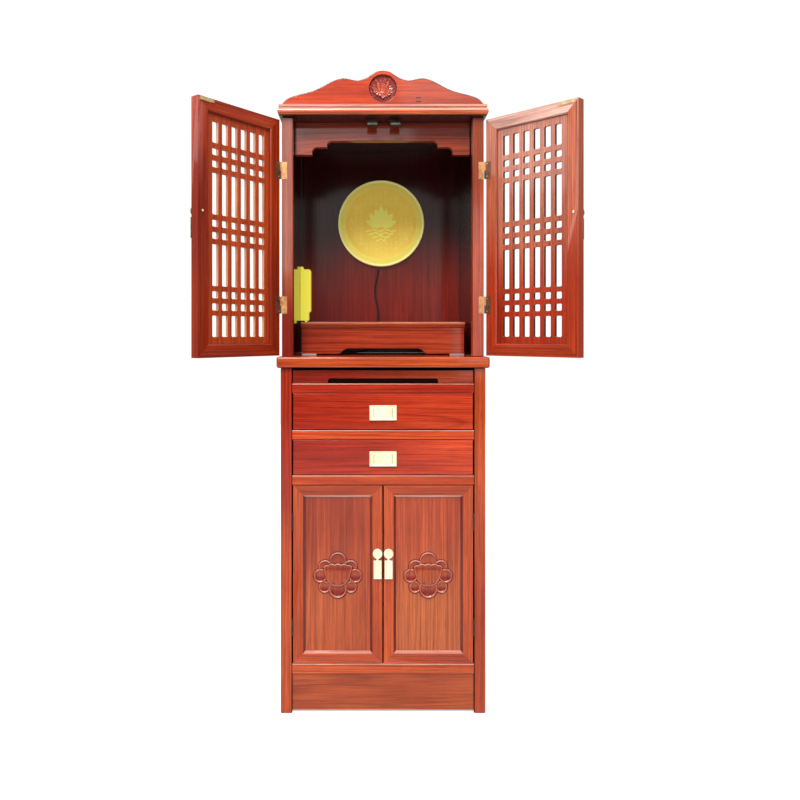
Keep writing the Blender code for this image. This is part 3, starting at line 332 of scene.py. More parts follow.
def lacquered_wood(name, along, tone, pith=(0.03, 0.10), start=0.0, far_tone=None, span=(0, 1), spacing=0.010,
                   taper=0.07, waver=0.018, figure=1.0, turn_deg=0.0, coat=0.8, coat_roughness=0.08,
                   roughness=0.45, carved=False):
    """Wood with its grain along X or Z. Its tone runs to far_tone over the span."""
    material, tree, shader = new_material(name)
    source = object_place(tree)
    if turn_deg:
        source = mapping(tree, source, Rotation=(0, 0, -math.radians(turn_deg)))
    onto_x = (0, math.pi / 2 if along == "Z" else 0, 0)
    grain = mapping(tree, source, Rotation=onto_x, Location=(-start, *pith))

    def stretched(shrink, *values, **options):
        """Noise that is drawn out along the grain."""
        return noise(tree, mapping(tree, grain, Scale=(shrink, 1, 1)), *values, **options)

    bends = stretched(0.20, 6.5, 2, 0.45, output="Color")
    bent = add_node(tree, "ShaderNodeVectorMath", (bends, (0, waver, waver), grain), operation="MULTIPLY_ADD")
    from_pith = mapping(tree, bent.outputs["Vector"], Scale=(taper, 1, 1))
    length = add_node(tree, "ShaderNodeVectorMath", (from_pith,), operation="LENGTH")
    rings = calculate(tree, "DIVIDE", length.outputs["Value"], spacing)
    years = noise(tree, rings, 0.43, socket="W", noise_dimensions="1D")
    within_year = calculate(tree, "FRACT", calculate(tree, "MULTIPLY_ADD", years, 3.0, rings))
    late_wood = colour_ramp(
        tree, within_year, (0.0, 0.45), (0.10, 0.05), (0.45, 0.0), (0.78, 0.30), (0.93, 1.0), (1.0, 0.45),
    )
    patches = stretched(0.30, 5.0, 3, 0.6)
    depth = calculate(tree, "MULTIPLY", late_wood, 0.5)
    fibres = stretched(0.02, 240, 4, 0.65)
    pores = stretched(0.03, 800)

    body = tone
    if far_tone:
        run = remap(tree, split_axes(tree, grain)["X"], span[0] - start, span[1] - start)
        body = blend_colours(tree, "MIX", run, tone, far_tone)
    for share, layer in (
        (1.0, colour_ramp(tree, patches, (0.30, (0.66, 0.50, 0.48)), (0.70, (1.26, 1.50, 1.50)))),
        (1.0, colour_ramp(tree, fibres, (0.30, (0.62, 0.50, 0.48)), (0.70, (1.26, 1.42, 1.42)))),
        (figure, blend_colours(tree, "MIX", depth, (1.0, 1.0, 1.0), (0.34, 0.17, 0.16))),
        (0.9, colour_ramp(tree, pores, (0.30, 0.62), (0.43, 1.0))),
    ):
        body = blend_colours(tree, "MULTIPLY", share, body, layer)
    if carved:
        body = carved_stain_and_painted_light(tree, body)
    set_inputs(shader, {
        "Base Color": body, "Roughness": roughness, "Specular IOR Level": 0.12, "Coat Weight": coat,
        "Coat Roughness": coat_roughness,
    })
    add_bump(shader, fibres, 0.10, 0.0003)
    return material


inner_wood = lacquered_wood("plain inner wood", "X", (0.32, 0.085, 0.040), (0.4, 0.3), spacing=0.012, coat=0.0,
                            roughness=0.6)
print(len(inner_wood.node_tree.nodes), "nodes in one lacquered wood")

# %% [markdown]
# ## From boards to pieces
#
# The boards keep their exact shapes, with one addition: no real edge is knife-sharp. A copy of each
# board has its triangles merged back into flat faces, and a narrow bevel rounds every edge. Where the
# fronts of drawers and rails meet their tops, those edges are rounded on their own and get a pale wood,
# a painted highlight along them. The copy then stands for the board.

# %% Helpers for pieces
# How wide the painted highlight along the top front edges is.
HIGHLIGHT_WIDTH = 0.0013


def finish_piece(name, bm, materials, node, replaces=True):
    """Makes the bmesh a piece that rides with a board and may stand for it."""
    mesh = bpy.data.meshes.new(name)
    bm.to_mesh(mesh)
    bm.free()
    piece = bpy.data.objects.new(name, mesh)
    for material in materials if isinstance(materials, (list, tuple)) else (materials,):
        mesh.materials.append(material)
    bpy.context.scene.collection.objects.link(piece)
    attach(piece, body_of[node])
    if replaces:
        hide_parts(node)
    return piece


def smooth_faces(piece, sharp_deg):
    piece.data.shade_smooth()
    piece.data.set_sharp_from_angle(angle=math.radians(sharp_deg))


def merged_copy(node):
    """A board's mesh as a bmesh, its triangles merged into flat faces."""
    bm = bmesh.new()
    bm.from_mesh(nodes[node].data)
    bmesh.ops.remove_doubles(bm, verts=bm.verts, dist=1e-5)
    bmesh.ops.dissolve_limit(
        bm, angle_limit=math.radians(1), use_dissolve_boundaries=False, verts=bm.verts, edges=bm.edges,
    )
    return bm


def bevel_edges(bm, edges, width, segments, clamp=False):
    return bmesh.ops.bevel(
        bm, geom=edges, offset=width, segments=segments, profile=0.5, affect="EDGES", material=-1,
        clamp_overlap=clamp,
    )["faces"]


def runs_back(edge):
    return abs((edge.verts[0].co - edge.verts[1].co).y) > 1e-4


def box_at(bm, middle, size):
    """Adds a box round a middle and returns its vertices."""
    made = bmesh.ops.create_cube(bm, size=1.0)["verts"]
    bmesh.ops.scale(bm, vec=size, verts=made)
    bmesh.ops.translate(bm, vec=middle, verts=made)
    return made


def box_shape(bm, low, high):
    """Adds a box between two corners and returns its vertices."""
    return box_at(bm, [(a + b) / 2 for a, b in zip(low, high)], [b - a for a, b in zip(low, high)])


def rounded_box(bm, low, high, width, segments=3):
    verts = box_shape(bm, low, high)
    bevel_edges(bm, list({edge for vert in verts for edge in vert.link_edges}), width, segments, clamp=True)


def round_edges(piece, width, segments=2, angle_deg=30):
    bevel = piece.modifiers.new("Rounded edges", "BEVEL")
    bevel.width = width
    bevel.segments = segments
    bevel.limit_method = "ANGLE"
    bevel.angle_limit = math.radians(angle_deg)
    piece.data.shade_smooth()
    flat = piece.modifiers.new("Flat faces stay flat", "WEIGHTED_NORMAL")
    flat.weight = 100
    flat.keep_sharp = True
    return piece


def highlight_top_edge(bm):
    """Rounds the edges where the front meets the top, and gives them the third material, a painted highlight."""
    bm.normal_update()
    edges = []
    for edge in bm.edges:
        normals = [face.normal for face in edge.link_faces]
        if len(normals) == 2 and min(n.y for n in normals) < -0.9 and max(n.z for n in normals) > 0.9:
            edges.append(edge)
    for face in bevel_edges(bm, edges, HIGHLIGHT_WIDTH, 2):
        face.material_index = 2


def dress_board(node, material, rounding=0.0014, second=None, facing=(), sunk_y=None, highlight=None):
    """Dresses a board. Faces that look some way, or lie sunk behind sunk_y, get the second material."""
    bm = merged_copy(node)
    if second:
        for face in bm.faces:
            looks = any(face.normal.dot(Vector(direction)) > 0.7 for direction in facing)
            sunk = sunk_y and face.normal.y < -0.3 and face.calc_center_median().y > sunk_y
            face.material_index = 1 if looks or sunk else 0
    if highlight:
        highlight_top_edge(bm)
    piece = finish_piece(node + "_board", bm, [item for item in (material, second, highlight) if item], node)
    return round_edges(piece, rounding, angle_deg=50 if highlight else 30)


print("helpers ready")

# %% [markdown]
# ## The case
#
# The stain is the same everywhere, and still no two boards look alike: the wood under it was redder in
# one plank and browner in the next. So each board gets a tone of its own near the common one, and a
# pith of its own. The drawer fronts were cut so that the rings run out along them in long arches. The
# shrine is dark inside, with painted shade that deepens towards its top and under the roof. Faces that
# look into the narrow gaps between boards, face down under the shelves and line the tray's grip are
# painted nearly black, as painted shade.

# %% Name the tones
RED = (0.48, 0.026, 0.005)
BRIGHT_RED = (0.72, 0.062, 0.014)
ORANGE = (0.54, 0.068, 0.012)
BROWN = (0.52, 0.085, 0.020)
WINE = (0.25, 0.012, 0.003)
SHADED = (0.34, 0.028, 0.005)
HEADER = (0.34, 0.040, 0.012)
STILE = (0.32, 0.050, 0.014)
DEEP = (0.045, 0.0030, 0.0020)
DEEP_RED = (0.230, 0.0120, 0.0050)

# Faces in the gaps, under the shelves and in the tray's grip get this near-black wood: painted shade.
gap_shade = lacquered_wood("painted shade in a gap", "X", (0.040, 0.005, 0.003), (0.4, 0.3), coat=0.0, roughness=0.8)
# A pale wood for the painted highlight along lit edges.
edge_highlight = lacquered_wood("painted highlight on edges", "X", (0.88, 0.50, 0.42), (0.17, -0.46), figure=0.3, coat=0.4)
# The roof's underside is painted near black: painted shade under the roof.
roof_underside_shade = lacquered_wood("dark lacquer and painted shade, shrine", "Z", DEEP, (0.10, 0.50), 1.2, DEEP_RED, (1.34, 1.06),
                             spacing=0.012, coat=1.0, coat_roughness=0.05, roughness=0.4, figure=0.7)
# The shrine's walls and back grow darker towards the top: painted shade under the header and roof.
wall_wood = lacquered_wood("dark lacquer and painted shade, shrine's walls", "Z", (0.022, 0.0016, 0.0011), (0.20, 0.40), 0.7,
                           (0.030, 0.0020, 0.0012), (1.34, 1.06), spacing=0.012, coat=1.0,
                           coat_roughness=0.05, figure=0.7)
back_wood = lacquered_wood("dark lacquer and painted shade, shrine's back", "Z", DEEP, (0.15, 0.50), 1.1, DEEP_RED, (1.38, 1.12),
                           spacing=0.011, coat=1.0, coat_roughness=0.13, roughness=0.4, figure=0.5)
print("common woods made")

# %% Dress the case
CASE_WOOD = {  # grain, tone, pith, start, and for some a second tone with its span
    "post_left": ("Z", (0.40, 0.022, 0.005), (0.03, 0.20), 0.4, ORANGE, (0.62, 0.36)),
    "post_right": ("Z", ORANGE, (0.05, -0.16), 1.1),
    # The left stile's pinker tone at the top is partly a painted reflection.
    "stile_left": ("Z", STILE, (0.04, 0.31), 1.9, WINE, (1.16, 1.04)),
    "stile_right": ("Z", STILE, (0.02, -0.20), 1.0, (0.50, 0.064, 0.018), (1.46, 1.26)),
    "side_lower_left": ("Z", ORANGE, (0.10, 0.40), 0.2),
    "side_lower_right": ("Z", ORANGE, (0.13, -0.33), 0.8),
    "side_upper_left": ("Z", ORANGE, (0.06, 0.42), 1.4),
    "side_upper_right": ("Z", ORANGE, (0.02, -0.38), 1.2),
    "plinth": ("X", BROWN, (0.21, -0.10), -0.35),
    "shelf_above_cupboard": ("X", (0.60, 0.062, 0.007), (0.17, -0.61), -0.1),
    "shelf_between_drawers": ("X", (0.54, 0.050, 0.007), (0.15, -0.80), 0.15),
    "shelf_under_tray": ("X", RED, (0.16, -0.81), 0.3),
    "table_top": ("X", ORANGE, (0.05, -0.85), 0.1),
    "roof": ("X", (0.57, 0.096, 0.018), (0.06, -1.50), -0.2),
    "header": ("X", HEADER, (0.10, -1.48), 0.4),
    "drawer_upper_front": ("X", RED, (0.155, -0.775), -0.16, BRIGHT_RED, (-0.12, 0.12)),
    "drawer_lower_front": ("X", RED, (0.150, -0.600), 0.25, BRIGHT_RED, (-0.12, 0.25)),
    "tray_front": ("X", WINE, (0.17, -0.95), 0.1, HEADER, (-0.12, 0.16)),
    "cupboard_floor": ("X", ORANGE, (0.16, -0.18), 0.22),
    # The stand's top gets a pale tone: a painted highlight along its front edge.
    "stand_top": ("X", (0.62, 0.16, 0.07), (0.05, -0.95), 0.1),
    "stand_frame": ("X", (0.44, 0.045, 0.012), (0.03, -0.90), 0.05),
}
LEFT, RIGHT, UP, DOWN, BACK = (-1, 0, 0), (1, 0, 0), (0, 0, 1), (0, 0, -1), (0, 1, 0)
SECOND_FACES = {
    "side_upper_left": (wall_wood, (RIGHT,)), "side_upper_right": (wall_wood, (LEFT,)),
    "side_lower_left": (inner_wood, (RIGHT,)), "side_lower_right": (inner_wood, (LEFT,)),
    "post_left": (gap_shade, (RIGHT,)), "post_right": (gap_shade, (LEFT,)), "roof": (roof_underside_shade, (DOWN,)),
    "drawer_upper_front": (gap_shade, (LEFT, RIGHT, DOWN)), "drawer_lower_front": (gap_shade, (LEFT, RIGHT, DOWN)),
    "tray_front": (gap_shade, (LEFT, RIGHT, UP, DOWN)), "cupboard_floor": (inner_wood, (UP,)),
    **dict.fromkeys(
        ("shelf_above_cupboard", "shelf_between_drawers", "shelf_under_tray", "table_top"), (gap_shade, (DOWN,)),
    ),
}
# Boards whose top front edge gets the painted highlight.
HIGHLIT_EDGES = {"drawer_upper_front", "drawer_lower_front", "shelf_between_drawers", "shelf_above_cupboard",
        "shelf_under_tray", "cupboard_floor"}
TRAY_SUNK_Y = -0.1125
ROOF_BEAD = 0.0165

for node, values in CASE_WOOD.items():
    second, facing = SECOND_FACES.get(node, (None, ()))
    dress_board(node, lacquered_wood("lacquer, " + node.replace("_", " "), *values), 0.0011, second, facing,
                TRAY_SUNK_Y if node == "tray_front" else None, edge_highlight if node in HIGHLIT_EDGES else None)
for node in ("back_lower", "drawer_upper_box", "drawer_lower_box", "tray_board"):
    dress_board(node, inner_wood)
dress_board("back_upper", back_wood, 0.0002, inner_wood, (BACK,))
roof = bpy.data.objects["roof_board"]
# The upper half of the roof's front bead gets a pale, smooth wood: a painted highlight.
roof.data.materials.append(lacquered_wood("lacquer, roof's upper half", "X", (0.72, 0.24, 0.16), (0.06, -1.50),
                                          figure=0.15, coat=1.0, coat_roughness=0.22))
for polygon in roof.data.polygons:
    if polygon.normal.y < -0.2 and polygon.center.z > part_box("roof")[1].z - ROOF_BEAD:
        polygon.material_index = 2
print(len(CASE_WOOD), "boards with woods of their own")

# %% [markdown]
# ## Mitred frames
#
# A door's frame is four members, joined in mitres: at each corner the end grain is hidden by a cut at
# 45 degrees. The frame's mesh is cut along those four diagonals, and each face then takes the grain of
# the member that it belongs to, upright for the stiles and level for the rails. Nothing moves, so the
# frame keeps its exact shape.
#
# The lattice doors stand open, so their frames are measured, and their grain is laid, as if they were
# turned back to face the front. Their tones carry painted light: a pale painted reflection over the
# upper right door, painted shade on its reveals, a painted glow from behind on the left door's reveals,
# and painted shade in the darker wood of both. On the cupboard doors the moulding round the panel has a
# painted highlight above and on its ledge below and painted shade at the sides, and the outer edges
# are painted dark, as shade.

# %% Dress the door frames
DOOR_TURNS = {"left": -129.2, "right": 135.5}
MITRED_ROUNDING = 0.0011


def mitred_frame(node, woods, choose, turn_deg=0):
    """Cuts a frame along its mitres and chooses a wood for each face by where it lies."""
    bm = merged_copy(node)
    turn = Matrix.Rotation(math.radians(turn_deg), 3, "Z")
    back = turn.inverted()
    flat = [back @ v.co for v in bm.verts]
    low_x, low_z = (min(point[axis] for point in flat) for axis in (0, 2))
    high_x, high_z = (max(point[axis] for point in flat) for axis in (0, 2))
    middle_y = sum(point.y for point in flat) / len(flat)
    for x, z, slope in ((low_x, low_z, 1), (high_x, low_z, -1), (low_x, high_z, -1), (high_x, high_z, 1)):
        bmesh.ops.bisect_plane(
            bm, geom=bm.verts[:] + bm.edges[:] + bm.faces[:], plane_co=turn @ Vector((x, middle_y, z)),
            plane_no=turn @ Vector((slope, 0, -1)).normalized(),
        )
    for face in bm.faces:
        place = back @ face.calc_center_median()
        to_stile = min(place.x - low_x, high_x - place.x)
        to_bottom, to_top = place.z - low_z, high_z - place.z
        face.material_index = choose(face.normal, to_stile, min(to_bottom, to_top), to_top < to_bottom)
    return round_edges(finish_piece(node + "_mitred", bm, woods, node), MITRED_ROUNDING)


def lattice_member(normal, to_stile, to_rail, is_upper):
    """0 is a stile, 1 the lower rail and 2 the top rail."""
    return 0 if to_stile < to_rail else 2 if is_upper else 1


def cupboard_member(normal, to_stile, to_rail, is_upper):
    """0 is a stile, 1 a rail, 2, 3 and 5 are the moulding, and 4 is the outer edge. 2 and 5 are a painted
    highlight, 3 and 4 painted shade.
    """
    nearest = min(to_stile, to_rail)
    if nearest < 0.0005 and abs(normal.y) < 0.3:
        return 4
    if nearest > 0.02 and -0.97 < normal.y < -0.10:
        return 3 if abs(normal.x) > abs(normal.z) else 2 if normal.z > 0 else 5
    return 0 if to_stile < to_rail else 1


# The moulding's pale wood is a painted highlight, its dark wood painted shade.
moulding_highlight = lacquered_wood("moulding, painted highlight", "X", (0.54, 0.17, 0.12), (0.17, -0.46), figure=0.3, coat=0.12)
shaded = lacquered_wood("moulding in shade", "Z", (0.20, 0.020, 0.008), (0.17, 0.46), figure=0.5)
# Painted light in these tones: the right door's high tones and top rail are a pale painted reflection and its
# reveals painted shade; the left door's reveals are a painted glow from behind; the darker low tones of both doors
# are painted shade.
LATTICE_TONES = {  # stiles low and high, bars low and high, top rail, reveals of the bars
    "left": ((0.30, 0.024, 0.005), SHADED, (0.33, 0.034, 0.007), (0.40, 0.046, 0.010), (0.38, 0.040, 0.010),
             (0.62, 0.26, 0.14)),
    "right": ((0.42, 0.034, 0.006), (0.42, 0.090, 0.040), (0.42, 0.030, 0.005), (0.50, 0.150, 0.085),
              (0.62, 0.300, 0.230), (0.045, 0.020, 0.016)),
}
across_door = {}
for side, sign in (("left", 1), ("right", -1)):
    turn_deg = DOOR_TURNS[side]
    low_stile, high_stile, low_bar, high_bar, top_tone, reveal_tone = LATTICE_TONES[side]
    stiles = lacquered_wood(f"lacquer, lattice door stiles {side}", "Z", low_stile, (0.1, sign * 0.1), 0.9,
                            high_stile, (1.10, 1.40), turn_deg=turn_deg)
    rails = lacquered_wood(f"lacquer, lattice door rail {side}", "X", SHADED, (0.1, -1.1), 0.2 * sign,
                           turn_deg=turn_deg)
    top = lacquered_wood(f"lacquer, lattice door top rail {side}", "X", top_tone, (0.16, -1.56), 0.2 * sign,
                         turn_deg=turn_deg)
    bars = lacquered_wood(f"lacquer, lattice bars {side}", "Z", low_bar, (0.2, sign * 0.2), 1.3, high_bar,
                          (1.06, 1.36), spacing=0.008, turn_deg=turn_deg, figure=0.6)
    reveals = lacquered_wood(f"lacquer, lattice reveals {side}", "Z", reveal_tone, (0.2, 0.3), turn_deg=turn_deg,
                             figure=0.4)
    across = Vector((math.cos(math.radians(turn_deg)), math.sin(math.radians(turn_deg)), 0))
    across_door[side] = across
    mitred_frame(f"lattice_frame_{side}", (stiles, rails, top), lattice_member, turn_deg)
    dress_board(f"lattice_{side}", bars, 0.0009, reveals, (across, -across))
    stiles = lacquered_wood(f"lacquer, cupboard door stiles {side}", "Z", ORANGE, (0.16, sign * 0.22), 0.2,
                            figure=0.7, waver=0.026)
    rails = lacquered_wood(f"lacquer, cupboard door rails {side}", "X", (0.48, 0.056, 0.011), (0.17, -0.46),
                           0.12 * sign, waver=0.026)
    mitred_frame(f"door_frame_{side}", (stiles, rails, moulding_highlight, shaded, gap_shade, edge_highlight), cupboard_member)
print("frames dressed")

# %% [markdown]
# ## The carved door panels
#
# Each cupboard door holds a flat panel with a lotus carved in low relief: eight round petals, each
# hollowed like a dish inside a raised rim, round a bowl of three closed petals. A fine grid follows the
# panel's face, and every vertex moves forward by the carving's height there. The heights come from a
# short list of petals, laid over each other from back to front, so the carving stays easy to change.
# The grid's border is then pulled out to the panel's rectangle, and back by its thickness.

# %% Describe the lotus
LOTUS_MIDDLE_Z = 0.3628
PETALS = (  # middle across, middle up, radius, height of the layer, in mm, from back to front
    (0.0, 37.5, 22.0, 0.6), (-33.5, 21.0, 18.0, 1.0), (33.5, 21.0, 18.0, 1.0),
    (-46.0, -2.5, 18.0, 1.3), (46.0, -2.5, 18.0, 1.3), (-35.0, -32.0, 15.5, 1.0), (35.0, -32.0, 15.5, 1.0),
    (0.0, -36.5, 24.0, 1.7),
)
BOWL_LEVELS = (-29.5, -27.5, -22.0, -12.0, 2.7, 20.0, 40.0)
BOWL_WIDTHS = (0.0, 12.0, 22.0, 29.6, 34.6, 38.0, 39.0)


def step(value, low, high):
    """Rises smoothly from 0 at low to 1 at high."""
    t = np.clip((value - low) / (high - low), 0, 1)
    return t * t * (3 - 2 * t)


def hump(value, middle, half_width):
    """A rounded ridge, 1 at its middle."""
    return np.exp(-((value - middle) / half_width) ** 2)


def laid_over(below, above, inwards):
    """Lays one height or stain over another, where inwards is more than 0."""
    cover = step(inwards, -0.5, 0.5)
    return below * (1 - cover) + above * cover, cover


def lotus_height(x, z):
    """The carving's height in mm over the panel's face, for arrays of places in mm."""
    height = np.zeros_like(x)
    for middle_x, middle_z, radius, layer in PETALS:
        inwards = radius - np.hypot(x - middle_x, z - middle_z)
        tilt = (0.9 if middle_z > 0 else -0.9) * (z - middle_z) / radius
        dish = layer + (1.9 + tilt) * hump(inwards, 2.0, 2.0) - 1.5 * step(inwards, 3, 11)
        height, cover = laid_over(height, dish, inwards)
        height -= 0.9 * hump(inwards, -1.0, 0.8) * (1 - cover)
    scallops = 27.0 + 2.6 * np.abs(np.cos(np.pi * x / 17.0)) - 0.020 * np.clip(np.abs(x) - 18, 0, 30) ** 2
    inwards = np.minimum(np.interp(z, BOWL_LEVELS, BOWL_WIDTHS) - np.abs(x), scallops - z)
    swell = np.sqrt(np.clip(1 - (x / 46) ** 2 - ((z + 2) / 44) ** 2, 0, 1))
    bowl = 1.1 + 2.4 * swell + 1.2 * hump(inwards, 1.6, 1.5)
    bowl -= 1.5 * hump(z, 17.0 - 0.006 * x * x, 6.5) * step(inwards, 1.5, 5)
    for bend in (-1, 1):
        seam = x - bend * (10.5 - 0.013 * (z + 10) ** 2)
        bowl -= 1.1 * hump(seam, 0, 1.0) * step(-z, -9, -5) * step(z, -27, -22)
        bowl -= 0.9 * hump(np.hypot((x - bend * 22) / 1.5, z + 6), 0, 4.0)
    height, cover = laid_over(height, bowl, inwards)
    height -= 1.0 * hump(inwards, -1.2, 0.9) * (1 - cover) * step(z, -60, -30)
    for bend in (-1, 1):
        height -= 1.3 * hump(np.hypot(x - bend * 7.4, (z + 34) * 1.5), 0, 2.6)
    return np.clip(height, -2.0, 4.4)


def lotus_stain_and_shade(x, z):
    """How far the carving is darkened, from 0 to 1: light staining all over it and in the upper petals'
    dishes, and painted shade low in the other dishes, in a band high in the bowl and in two patches below.
    """
    darkening, inside = np.zeros_like(x), np.zeros_like(x)
    for middle_x, middle_z, radius, _ in PETALS:
        inwards = radius - np.hypot(x - middle_x, z - middle_z)
        # Below the upper petals, each dish gets painted shade in its lower half.
        low = step(-(z - middle_z) / radius, -0.5, 0.4) if middle_z < 10 else 0.25
        darkening, cover = laid_over(darkening, step(inwards, 2.5, 5.0) * low, inwards)
        inside = np.maximum(inside, cover)
    inwards = np.minimum(np.interp(z, BOWL_LEVELS, BOWL_WIDTHS) - np.abs(x), 28 - z)
    # Painted shade in a band high in the bowl and in two patches low in it.
    bowl = 0.75 * hump(z, 17, 7.0) * step(inwards, 1, 4) + 0.9 * hump(np.hypot((np.abs(x) - 13) / 1.6, z + 23), 0, 5)
    darkening, cover = laid_over(darkening, bowl, inwards)
    return np.clip(np.maximum(darkening, 0.28 * np.maximum(inside, cover)), 0, 1)


print(len(PETALS), "petals round the bowl")

# %% Carve the panels
CARVED_WIDTH, CARVED_HEIGHT, CARVED_SPACING = 0.140, 0.132, 0.0008
PANEL_FACE_Y = -0.1075


def displaced(bm, middle, face_y, height_mm, rounds, depth, darkening):
    """Moves every vertex of a flat bmesh, drawn round the origin in XZ, onto a carved face.

    It also marks hollows and ridges, where the face lies under or over the average of its surroundings.
    Slopes that face down are marked with painted shade, and ridges that face up with a painted highlight.
    """
    x, z = 1000 * np.array([(v.co.x, v.co.z) for v in bm.verts]).T
    heights = height_mm(x, z)
    bm.verts.index_update()
    ends = np.array([(edge.verts[0].index, edge.verts[1].index) for edge in bm.edges])
    neighbours = np.bincount(ends.ravel(), minlength=len(heights))
    average = heights.copy()
    for _ in range(rounds):
        total = np.bincount(ends[:, 0], average[ends[:, 1]], len(heights))
        total += np.bincount(ends[:, 1], average[ends[:, 0]], len(heights))
        average = 0.5 * average + 0.5 * total / neighbours
    relief = (heights - average) / depth
    # The slope decides painted light: down-facing slopes get painted shade, up-facing ridges a painted highlight.
    faces_up = (height_mm(x, z - 0.4) - height_mm(x, z + 0.4)) / 0.8
    hollows = np.maximum(np.clip(np.maximum(-relief, -0.8 * faces_up), 0, 1), darkening(x, z))
    ridges = np.clip(1.4 * relief, 0, 1) * (0.10 + 0.90 * np.clip(faces_up, 0, 1))
    hollow, ridge = (bm.verts.layers.float.new(name) for name in ("hollow", "ridge"))
    for vert, height, low, raised in zip(bm.verts, heights, hollows, ridges):
        vert.co = (vert.co.x + middle[0], face_y - height / 1000, vert.co.z + middle[1])
        vert[hollow], vert[ridge] = low, raised


def extrude_border(bm, move):
    """Extrudes the border edges and moves the new vertices with move(vert)."""
    border = [edge for edge in bm.edges if edge.is_boundary]
    grown = bmesh.ops.extrude_edge_only(bm, edges=border)["geom"]
    for vert in (item for item in grown if isinstance(item, bmesh.types.BMVert)):
        move(vert)


def close_back(bm, back_y=None):
    """Draws the border back to back_y, fills it, and turns all faces outwards."""
    if back_y is not None:
        extrude_border(bm, lambda vert: setattr(vert.co, "y", back_y))
    bmesh.ops.contextual_create(bm, geom=[edge for edge in bm.edges if edge.is_boundary])
    bmesh.ops.recalc_face_normals(bm, faces=bm.faces)


def carved_panel(side, material):
    node = f"door_panel_{side}"
    low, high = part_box(node)
    middle_x, half_width = (low.x + high.x) / 2, (high.x - low.x) / 2
    bm = bmesh.new()
    bmesh.ops.create_grid(
        bm, x_segments=round(CARVED_WIDTH / CARVED_SPACING), y_segments=round(CARVED_HEIGHT / CARVED_SPACING),
        size=0.5, matrix=Matrix.Rotation(math.pi / 2, 4, "X"),
    )
    bmesh.ops.scale(bm, vec=(CARVED_WIDTH, 1, CARVED_HEIGHT), verts=bm.verts)
    displaced(bm, (middle_x, LOTUS_MIDDLE_Z), PANEL_FACE_Y, lotus_height, 30, 1.1, lotus_stain_and_shade)

    def to_outline(vert):
        """Moves a vertex of the carving's border to the panel's border."""
        across = (vert.co.x - middle_x) / (CARVED_WIDTH / 2)
        up = (vert.co.z - LOTUS_MIDDLE_Z) / (CARVED_HEIGHT / 2)
        reach = high.z - LOTUS_MIDDLE_Z if up > 0 else LOTUS_MIDDLE_Z - low.z
        vert.co = (middle_x + across * half_width, PANEL_FACE_Y, LOTUS_MIDDLE_Z + up * reach)

    extrude_border(bm, to_outline)
    close_back(bm, high.y)
    piece = finish_piece(f"carved_panel_{side}", bm, material, node)
    smooth_faces(piece, 60)
    print(piece.name, len(piece.data.polygons), "faces")


# Each panel's tone grows paler towards its foot, partly a painted reflection.
for side, tree_side, start, low_tone in (
    ("left", 0.17, 0.75, (0.53, 0.090, 0.022)), ("right", -0.10, 0.50, (0.43, 0.078, 0.021)),
):
    carved_panel(side, lacquered_wood(
        f"lacquer, door panel {side}", "Z", (0.42, 0.050, 0.013), (0.16, tree_side), start, low_tone, (0.50, 0.26),
        spacing=0.013, taper=0.13, waver=0.034, figure=0.7, carved=True,
    ))

# %% [markdown]
# ## The crest
#
# The crest is a flat board with a wavy top and a round medallion, sunk into its face and carved with a
# lotus in full flower. The board keeps its shape. The coarse carving in its recess is cut away, and the
# recess's rim is drawn back to make a plain round pocket. A disc of fine mesh fills it, made by
# spinning a line of vertices, whose heights come from pointed petals in three rows.

# %% Describe the medallion
MEDALLION_MIDDLE = (0.0, 1.6543)
MEDALLION_RADIUS = 0.0352
ROWS = (  # tips, root, half width and height of the layer, in mm, from back to front
    (((-26, 9), (-17, 20), (-6, 25), (6, 25), (17, 20), (26, 9)), (0, -8), 7.5, 1.0),
    (((-29, 3), (29, 3), (-27, -8), (27, -8)), (0, -10), 7.0, 1.8),
    (((-14, 15),), (-3, -12), 8.0, 2.2), (((14, 15),), (3, -12), 8.0, 2.2), (((0, 17),), (0, -12), 8.5, 3.0),
    (((-19, -17), (19, -17), (-11, -21), (11, -21)), (0, -7), 7.5, 2.9), (((0, -27),), (0, -8), 8.0, 3.3),
)


def pointed_petal(x, z, tip, root, width):
    """How far inside a pointed petal each place lies, and how far along it from root to tip."""
    run_x, run_z = tip[0] - root[0], tip[1] - root[1]
    length = math.hypot(run_x, run_z)
    along = ((x - root[0]) * run_x + (z - root[1]) * run_z) / length**2
    across = np.abs((x - root[0]) * -run_z + (z - root[1]) * run_x) / length
    half = width * np.sqrt(np.clip(along, 0, 1)) * np.clip(1 - along, 0, 1) ** 0.62 * 1.6
    return half - across, along


def medallion_height(x, z):
    """Height in mm over the medallion's ground."""
    height = np.zeros_like(x)
    for tip, root, width, layer in ((tip, *row) for tips, *row in ROWS for tip in tips):
        inwards, along = pointed_petal(x, z, tip, root, width)
        cover = step(inwards, -0.25, 0.35) * step(along, 0.0, 0.05)
        petal = layer + 1.3 * np.clip(inwards / width, 0, 1) + 0.5 * step(along, 0.6, 1)
        petal += 0.7 * hump(inwards, 0.8, 0.7)
        height = height * (1 - cover) + petal * cover
        height -= 0.8 * hump(inwards, -0.7, 0.5) * (1 - cover) * step(along, 0.05, 0.3) * step(1.05 - along, 0, 0.1)
    share = np.hypot(x, z) / (MEDALLION_RADIUS * 1000)
    return np.clip(height * step(1 - share, 0.02, 0.12), -0.5, 5.4)


def medallion_darkening(x, z):
    """Darker in the ground round the flower, where the carving is low."""
    return np.clip((3.4 - medallion_height(x, z)) / 2.2, 0, 1)


print(sum(len(tips) for tips, *_ in ROWS), "petals")

# %% Carve the medallion
RECESS_RADIUS, RECESS_DEPTH, POCKET_DEPTH = 0.037, 0.0065, 0.010
GROUND_DEPTH, DISC_BACK = 0.0060, 0.0095
SPOKES, RINGS = 288, 84

